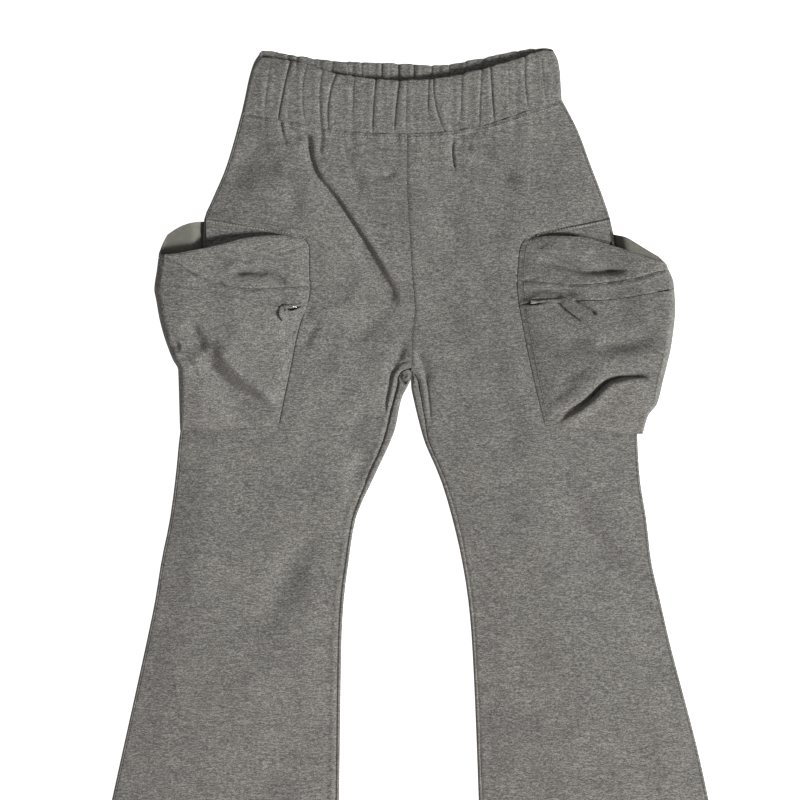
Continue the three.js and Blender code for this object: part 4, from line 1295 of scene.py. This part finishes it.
def finish_piece(piece, nodes):
    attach(piece, "root")
    if nodes:
        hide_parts(*nodes)


def stitch_run(bm, points, length, gap, radius):
    """Lays stitches end to end along a line of points, each a thin rounded bead."""
    lengths = [0.0]
    for a, b in zip(points, points[1:]):
        lengths.append(lengths[-1] + (b - a).length)
    total = lengths[-1]
    at, k = gap, 0
    while at + length < total:
        ends = []
        for distance in (at, at + length):
            while k + 1 < len(lengths) - 1 and lengths[k + 1] < distance:
                k += 1
            t = (distance - lengths[k]) / max(lengths[k + 1] - lengths[k], 1e-9)
            ends.append(points[k].lerp(points[k + 1], t))
        along = ends[1] - ends[0]
        turn = along.to_track_quat("X", "Z").to_matrix().to_4x4()
        size = Matrix.Diagonal((along.length / 2 * 1.04, radius, radius * 0.8, 1))
        matrix = Matrix.Translation((ends[0] + ends[1]) / 2) @ turn @ size
        bmesh.ops.create_uvsphere(bm, u_segments=6, v_segments=4, radius=1.0, matrix=matrix)
        at += length + gap


def stitched(name, runs, material, length=2.6, gap=0.6, radius=0.3):
    """One object of all the stitches along several lines."""
    bm = bmesh.new()
    for run in runs:
        stitch_run(bm, run, length / 1000, gap / 1000, radius / 1000)
    mesh = mesh_from(bm, name)
    mesh.shade_smooth()
    piece = add_object(mesh, material)
    finish_piece(piece, ())
    return piece


def across(start, span, steps, v):
    """(u, v) spots along a row of a piece."""
    return [(start + span * i / steps, v) for i in range(steps + 1)]


def line_on(shape, spots, lift_mm=0.12):
    """Points of a cloth piece's face along (u, v) spots, raised by half a thread."""
    u = np.array([s[0] for s in spots])
    v = np.array([s[1] for s in spots])
    x, down, z = shape(u, v)
    return [Vector(p) for p in to_frame(x, down, z + lift_mm)]


# flat sizes of the smaller cuts, in metres, and the area of each one on either side
Cut = namedtuple("Cut", "wide long left right")
FACING_CUT = Cut(0.1, 0.045, 0.0024, 0.0021)
UPPER_CUT = Cut(0.34, 0.06, 0.0154, 0.0151)
MIDDLE_CUT = Cut(0.34, 0.036, 0.0086, 0.0078)
LOWER_CUT = Cut(0.34, 0.17, 0.0445, 0.049)
MATERIALS = {}


def material_for(key):
    if key not in MATERIALS:
        MATERIALS[key] = {
            "fleece": lambda: heather_fleece("heather_fleece_face", "#4d4c49", "#686763", "#8b8a85"),
            "inside": lambda: brushed_inside("brushed_fleece_inside"),
            "thread": lambda: spun_thread("grey_polyester_thread", "#989791"),
            "pale_thread": lambda: spun_thread("pale_grey_polyester_thread", "#a8a7a1"),
            "tape": lambda: woven_tape("woven_zip_tape"),
            "nickel": lambda: nickel_plate("nickel_plated_zinc"),
        }[key]()
    return MATERIALS[key]


def fleece_pair():
    return [material_for("fleece"), material_for("inside")]


# ---- settings a user would change ----
class SweatpantsCloth(bpy.types.PropertyGroup):
    wall: bpy.props.FloatProperty(
        name="Fleece thickness", description="Thickness of the fleece of panels and pockets",
        default=FLEECE / 1000, min=0.001, max=0.003, unit="LENGTH")
    band_wall: bpy.props.FloatProperty(
        name="Waistband thickness", description="Both layers of the waistband with its elastic",
        default=BAND_WALL / 1000, min=0.002, max=0.005, unit="LENGTH")
    stitch: bpy.props.FloatProperty(
        name="Stitch length", description="Length of one topstitch", default=0.0026, unit="LENGTH")


class SweatpantsStage(bpy.types.PropertyGroup):
    floor_tint: bpy.props.FloatVectorProperty(
        name="Floor", description="Colour of the plain floor", subtype="COLOR", size=3,
        default=(0.78, 0.78, 0.78), min=0, max=1)
    camera_height: bpy.props.FloatProperty(
        name="Camera height", description="Height of the camera over the floor", default=3.4, unit="LENGTH")


# ---- operators, one for each kind of piece ----
class SWEATPANTS_OT_front_panels(bpy.types.Operator):
    """Makes both front panels, from the waist seam to the hem"""

    bl_idname = "sweatpants.front_panels"
    bl_label = "Front Panels"

    def execute(self, context):
        wall = context.scene.sweatpants_cloth.wall * 1000
        for side in SIDES:
            piece = cloth_piece(f"cloth_front_{side.name}", 114, 400, front_shape(side), (0.5, 0.5), 1,
                                fleece_pair(), wall)
            finish_piece(piece, [f"front_{side.name}"])
        return {"FINISHED"}


class SWEATPANTS_OT_back_panels(bpy.types.Operator):
    """Makes both back panels, folded round the side and inside edges of the legs"""

    bl_idname = "sweatpants.back_panels"
    bl_label = "Back Panels"

    def execute(self, context):
        wall = context.scene.sweatpants_cloth.wall * 1000
        for side in SIDES:
            piece = cloth_piece(f"cloth_back_{side.name}", 84, 150, back_shape(side), (0.5, 0.5), -1,
                                fleece_pair(), wall)
            finish_piece(piece, [f"back_{side.name}"])
        return {"FINISHED"}


class SWEATPANTS_OT_waistband(bpy.types.Operator):
    """Makes the gathered waistband, a strip folded over its elastic"""

    bl_idname = "sweatpants.waistband"
    bl_label = "Waistband"

    def execute(self, context):
        piece = cloth_piece("cloth_waistband", 1000, 50, band_shape, (0.5, 0.25), 1,
                            [material_for("fleece")], 0)
        bm = bmesh.new()
        bm.from_mesh(piece.data)
        bmesh.ops.remove_doubles(bm, verts=bm.verts, dist=0.00002)
        rim = [edge for edge in bm.edges if edge.is_boundary]
        bmesh.ops.bridge_loops(bm, edges=rim)
        for edge in bm.edges:
            edge.smooth = edge not in rim
        bmesh.ops.recalc_face_normals(bm, faces=bm.faces)
        bm.to_mesh(piece.data)
        bm.free()
        piece.data.shade_smooth()
        finish_piece(piece, ["waistband"])
        return {"FINISHED"}


class SWEATPANTS_OT_pockets(bpy.types.Operator):
    """Makes both bag pockets: facing, upper piece, middle band and lower piece"""

    bl_idname = "sweatpants.pockets"
    bl_label = "Bag Pockets"

    def execute(self, context):
        wall = context.scene.sweatpants_cloth.wall * 1000
        parts = (
            ("upper", "mouth", "seam", 52, UPPER_CUT),
            ("middle", "seam", "zip", 18, MIDDLE_CUT),
            ("lower", "zip", "foot", 104, LOWER_CUT),
        )
        for side in SIDES:
            facing = cloth_piece(f"cloth_pocket_{side.name}_facing", 90, 60, facing_shape(side),
                                 (0.5, 0.5), 1, fleece_pair(), wall)
            finish_piece(facing, [f"pocket_{side.name}_facing"])
            getattr(FACING_CUT, side.name)
            for part, above, below, rows, cut in parts:
                piece = cloth_piece(f"cloth_pocket_{side.name}_{part}", 220, rows,
                                    bag_piece(side, above, below), (0.3, 0.5), 1, fleece_pair(), wall)
                finish_piece(piece, [f"pocket_{side.name}_{part}"])
                getattr(cut, side.name)
        return {"FINISHED"}


class SWEATPANTS_OT_zips(bpy.types.Operator):
    """Makes the zip tapes with their teeth, the sliders and the cloth pulls"""

    bl_idname = "sweatpants.zips"
    bl_label = "Zips"

    def execute(self, context):
        for side in SIDES:
            shape = tape_shape(side)
            tape = cloth_piece(f"zip_tape_{side.name}", 70, 10, shape, (0.5, 0.5), 1,
                               [material_for("tape")], TAPE_THICK)
            finish_piece(tape, [f"pocket_{side.name}_zip_tape"])
            self.teeth(side, shape)
            self.slider(side)
            pull = cloth_piece(f"cloth_pull_{side.name}", 12, 40, pull_shape(side), (0.5, 0.6), 1,
                               [material_for("fleece")], PULL_THICK)
            finish_piece(pull, [f"pocket_{side.name}_zip_pull"])
        return {"FINISHED"}

    def teeth(self, side, shape):
        """The closed chain: one small rounded tooth after another along the middle of the tape."""
        bm = bmesh.new()
        points = line_on(shape, across(0.01, 0.98, 400, 0.5), 0.2)
        run, next_at = 0.0, 0.0
        for a, b in zip(points, points[1:]):
            step = (b - a).length
            if run >= next_at:
                turn = (b - a).to_track_quat("X", "Z").to_matrix().to_4x4()
                size = Matrix.Diagonal((*TOOTH_SIZE, 1))
                bmesh.ops.create_uvsphere(bm, u_segments=8, v_segments=4, radius=1.0,
                                          matrix=Matrix.Translation(a) @ turn @ size)
                next_at += TOOTH_STEP
            run += step
        teeth = add_object(mesh_from(bm, f"zip_teeth_{side.name}"), material_for("tape"))
        finish_piece(teeth, ())

    def slider(self, side):
        """A cast slider: a rounded body that narrows to its rear and a bail over it."""
        out, down, base = zip_slider_spot(side)
        bm = bmesh.new()
        block = Matrix.Diagonal((SLIDER_LONG, SLIDER_WIDE, SLIDER_HIGH, 1))
        bmesh.ops.create_cube(bm, size=1.0, matrix=block)
        rear = [v for v in bm.verts if v.co.x > 0]
        bmesh.ops.scale(bm, vec=(1, 0.62, 1), verts=rear)
        bmesh.ops.bevel(bm, geom=bm.edges[:], offset=0.55, segments=3, profile=0.5, affect="EDGES",
                        material=-1)
        bmesh.ops.translate(bm, vec=(0, 0, SLIDER_HIGH / 2), verts=bm.verts)
        rings = []
        for i in range(13):
            angle = math.pi * i / 12
            along, up = -math.cos(angle) * BAIL_RADIUS, 2.5 + math.sin(angle) * BAIL_RADIUS
            centre = Vector((along, 0, up))
            turn = Matrix.Rotation(-angle, 4, "Y")
            ring = bmesh.ops.create_circle(bm, cap_ends=False, radius=BAIL_WIRE, segments=10,
                                           matrix=Matrix.Translation(centre) @ turn)
            rings.append(list({edge for v in ring["verts"] for edge in v.link_edges}))
        for a, b in zip(rings, rings[1:]):
            bmesh.ops.bridge_loops(bm, edges=a + b)
        for end in (rings[0], rings[-1]):
            bmesh.ops.contextual_create(bm, geom=end)
        bmesh.ops.recalc_face_normals(bm, faces=bm.faces)
        place = Vector(to_frame(np.array(side.sign * out), np.array(down), np.array(base)))
        bmesh.ops.scale(bm, vec=(0.001, 0.001, 0.001), verts=bm.verts)
        bmesh.ops.translate(bm, vec=place, verts=bm.verts)
        mesh = mesh_from(bm, f"zip_slider_{side.name}")
        mesh.shade_smooth()
        piece = add_object(mesh, material_for("nickel"))
        finish_piece(piece, [f"pocket_{side.name}_zip_slider"])


class SWEATPANTS_OT_stitching(bpy.types.Operator):
    """Lays the topstitching on the pockets, the waist seam and the hems"""

    bl_idname = "sweatpants.stitching"
    bl_label = "Topstitching"

    def execute(self, context):
        thread, pale = material_for("thread"), material_for("pale_thread")
        length = context.scene.sweatpants_cloth.stitch * 1000
        for side in SIDES:
            edges = []
            for above, below in (("mouth", "seam"), ("seam", "zip"), ("zip", "foot")):
                part = bag_piece(side, above, below)
                edges.append(line_on(part, [(0.03, 0.03 + 0.95 * i / 60) for i in range(61)]))
            foot = line_on(part, across(0.02, 0.64, 80, 0.976))
            stitched(f"stitches_pocket_{side.name}", [*edges, foot], thread, length, radius=0.22)
            facing = facing_shape(side)
            rows = [line_on(facing, across(0.02, 0.97, 60, v)) for v in (0.085, 0.13)]
            stitched(f"stitches_facing_{side.name}", rows, pale, length)
            front = front_shape(side)
            hems = [line_on(front, across(0.01, 0.98, 120, 1 - up)) for up in (0.0094, 0.0124)]
            stitched(f"stitches_hem_{side.name}", hems, thread, length)
            waist = line_on(front, across(0.01, 0.97, 160, 0.0096))
            stitched(f"stitches_waist_{side.name}", [waist], pale, length)
        return {"FINISHED"}


class SWEATPANTS_OT_stage(bpy.types.Operator):
    """Adds the pale floor, the soft lights and the camera"""

    bl_idname = "sweatpants.stage"
    bl_label = "Stage"

    def execute(self, context):
        settings = context.scene.sweatpants_stage
        self.floor(settings)
        self.lights(context)
        self.camera(context, settings)
        context.scene.view_settings.view_transform = "Standard"
        context.scene.view_settings.look = "None"
        return {"FINISHED"}

    def floor(self, settings):
        bm = bmesh.new()
        bmesh.ops.create_grid(bm, x_segments=4, y_segments=4, size=6.0)
        material, tree, shader = new_material("matt_white_paper", "#f4f4f4")
        surface(shader, Base_Color=(*settings.floor_tint, 1), Roughness=1.0, Specular_IOR_Level=0.0,
                Emission_Color=(1, 1, 1, 1))
        # the paper looks white, but does not throw that light back on the cloth
        seen = node(tree, "ShaderNodeLightPath").outputs["Is Camera Ray"]
        tree.links.new(seen, shader.inputs["Emission Strength"])
        floor = add_object(mesh_from(bm, "floor"), material)
        floor.location.z = -0.0002

    def lights(self, context):
        Lamp = namedtuple("Lamp", "name place tint size power")
        for lamp in (
            Lamp("key", (6.75, -2.3, 5.1), (1, 1, 0.99), 1.7, 1150),
            Lamp("hem", (0, -1.5, 1.3), (1, 0.72, 0.8), 1.0, 8),
        ):
            data = bpy.data.lights.new(lamp.name, "AREA")
            data.shape = "SQUARE"
            data.size = lamp.size
            data.energy = lamp.power
            data.color = lamp.tint
            item = bpy.data.objects.new(lamp.name, data)
            item.location = lamp.place
            aim = Vector((0, 0.15, 0)) - Vector(lamp.place)
            item.rotation_euler = aim.to_track_quat("-Z", "Y").to_euler()
            context.scene.collection.objects.link(item)
        world = bpy.data.worlds.new("studio")
        world.use_nodes = True
        world.node_tree.nodes["Background"].inputs["Color"].default_value = (1, 1, 1, 1)
        world.node_tree.nodes["Background"].inputs["Strength"].default_value = 0.29
        context.scene.world = world

    def camera(self, context, settings):
        data = bpy.data.cameras.new("camera")
        high = settings.camera_height
        data.sensor_width = 36
        data.lens = data.sensor_width * high / VIEW_WIDE
        camera = bpy.data.objects.new("camera", data)
        camera.location = ((VIEW_X + SHIFT_X) / 1000, (SHIFT_DOWN - VIEW_DOWN) / 1000, high)
        context.scene.collection.objects.link(camera)
        context.scene.camera = camera


class SWEATPANTS_PT_panel(bpy.types.Panel):
    """Lists the steps that build the sweatpants"""

    bl_idname = "SWEATPANTS_PT_panel"
    bl_label = "Sweatpants"
    bl_space_type = "VIEW_3D"
    bl_region_type = "UI"
    bl_category = "Sweatpants"

    def draw(self, context):
        layout = self.layout
        for group in (context.scene.sweatpants_cloth, context.scene.sweatpants_stage):
            for key in group.bl_rna.properties.keys():
                if key not in ("rna_type", "name"):
                    layout.prop(group, key)
        for operator in STEPS:
            layout.operator(operator.bl_idname)


STEPS = (
    SWEATPANTS_OT_front_panels,
    SWEATPANTS_OT_back_panels,
    SWEATPANTS_OT_waistband,
    SWEATPANTS_OT_pockets,
    SWEATPANTS_OT_zips,
    SWEATPANTS_OT_stitching,
    SWEATPANTS_OT_stage,
)
CLASSES = (SweatpantsCloth, SweatpantsStage, *STEPS, SWEATPANTS_PT_panel)


def register():
    for item in CLASSES:
        bpy.utils.register_class(item)
    bpy.types.Scene.sweatpants_cloth = bpy.props.PointerProperty(type=SweatpantsCloth)
    bpy.types.Scene.sweatpants_stage = bpy.props.PointerProperty(type=SweatpantsStage)


def unregister():
    del bpy.types.Scene.sweatpants_stage
    del bpy.types.Scene.sweatpants_cloth
    for item in reversed(CLASSES):
        bpy.utils.unregister_class(item)


def main():
    register()
    bpy.ops.sweatpants.front_panels()
    bpy.ops.sweatpants.back_panels()
    bpy.ops.sweatpants.waistband()
    bpy.ops.sweatpants.pockets()
    bpy.ops.sweatpants.zips()
    bpy.ops.sweatpants.stitching()
    bpy.ops.sweatpants.stage()


if __name__ == "__main__":
    main()
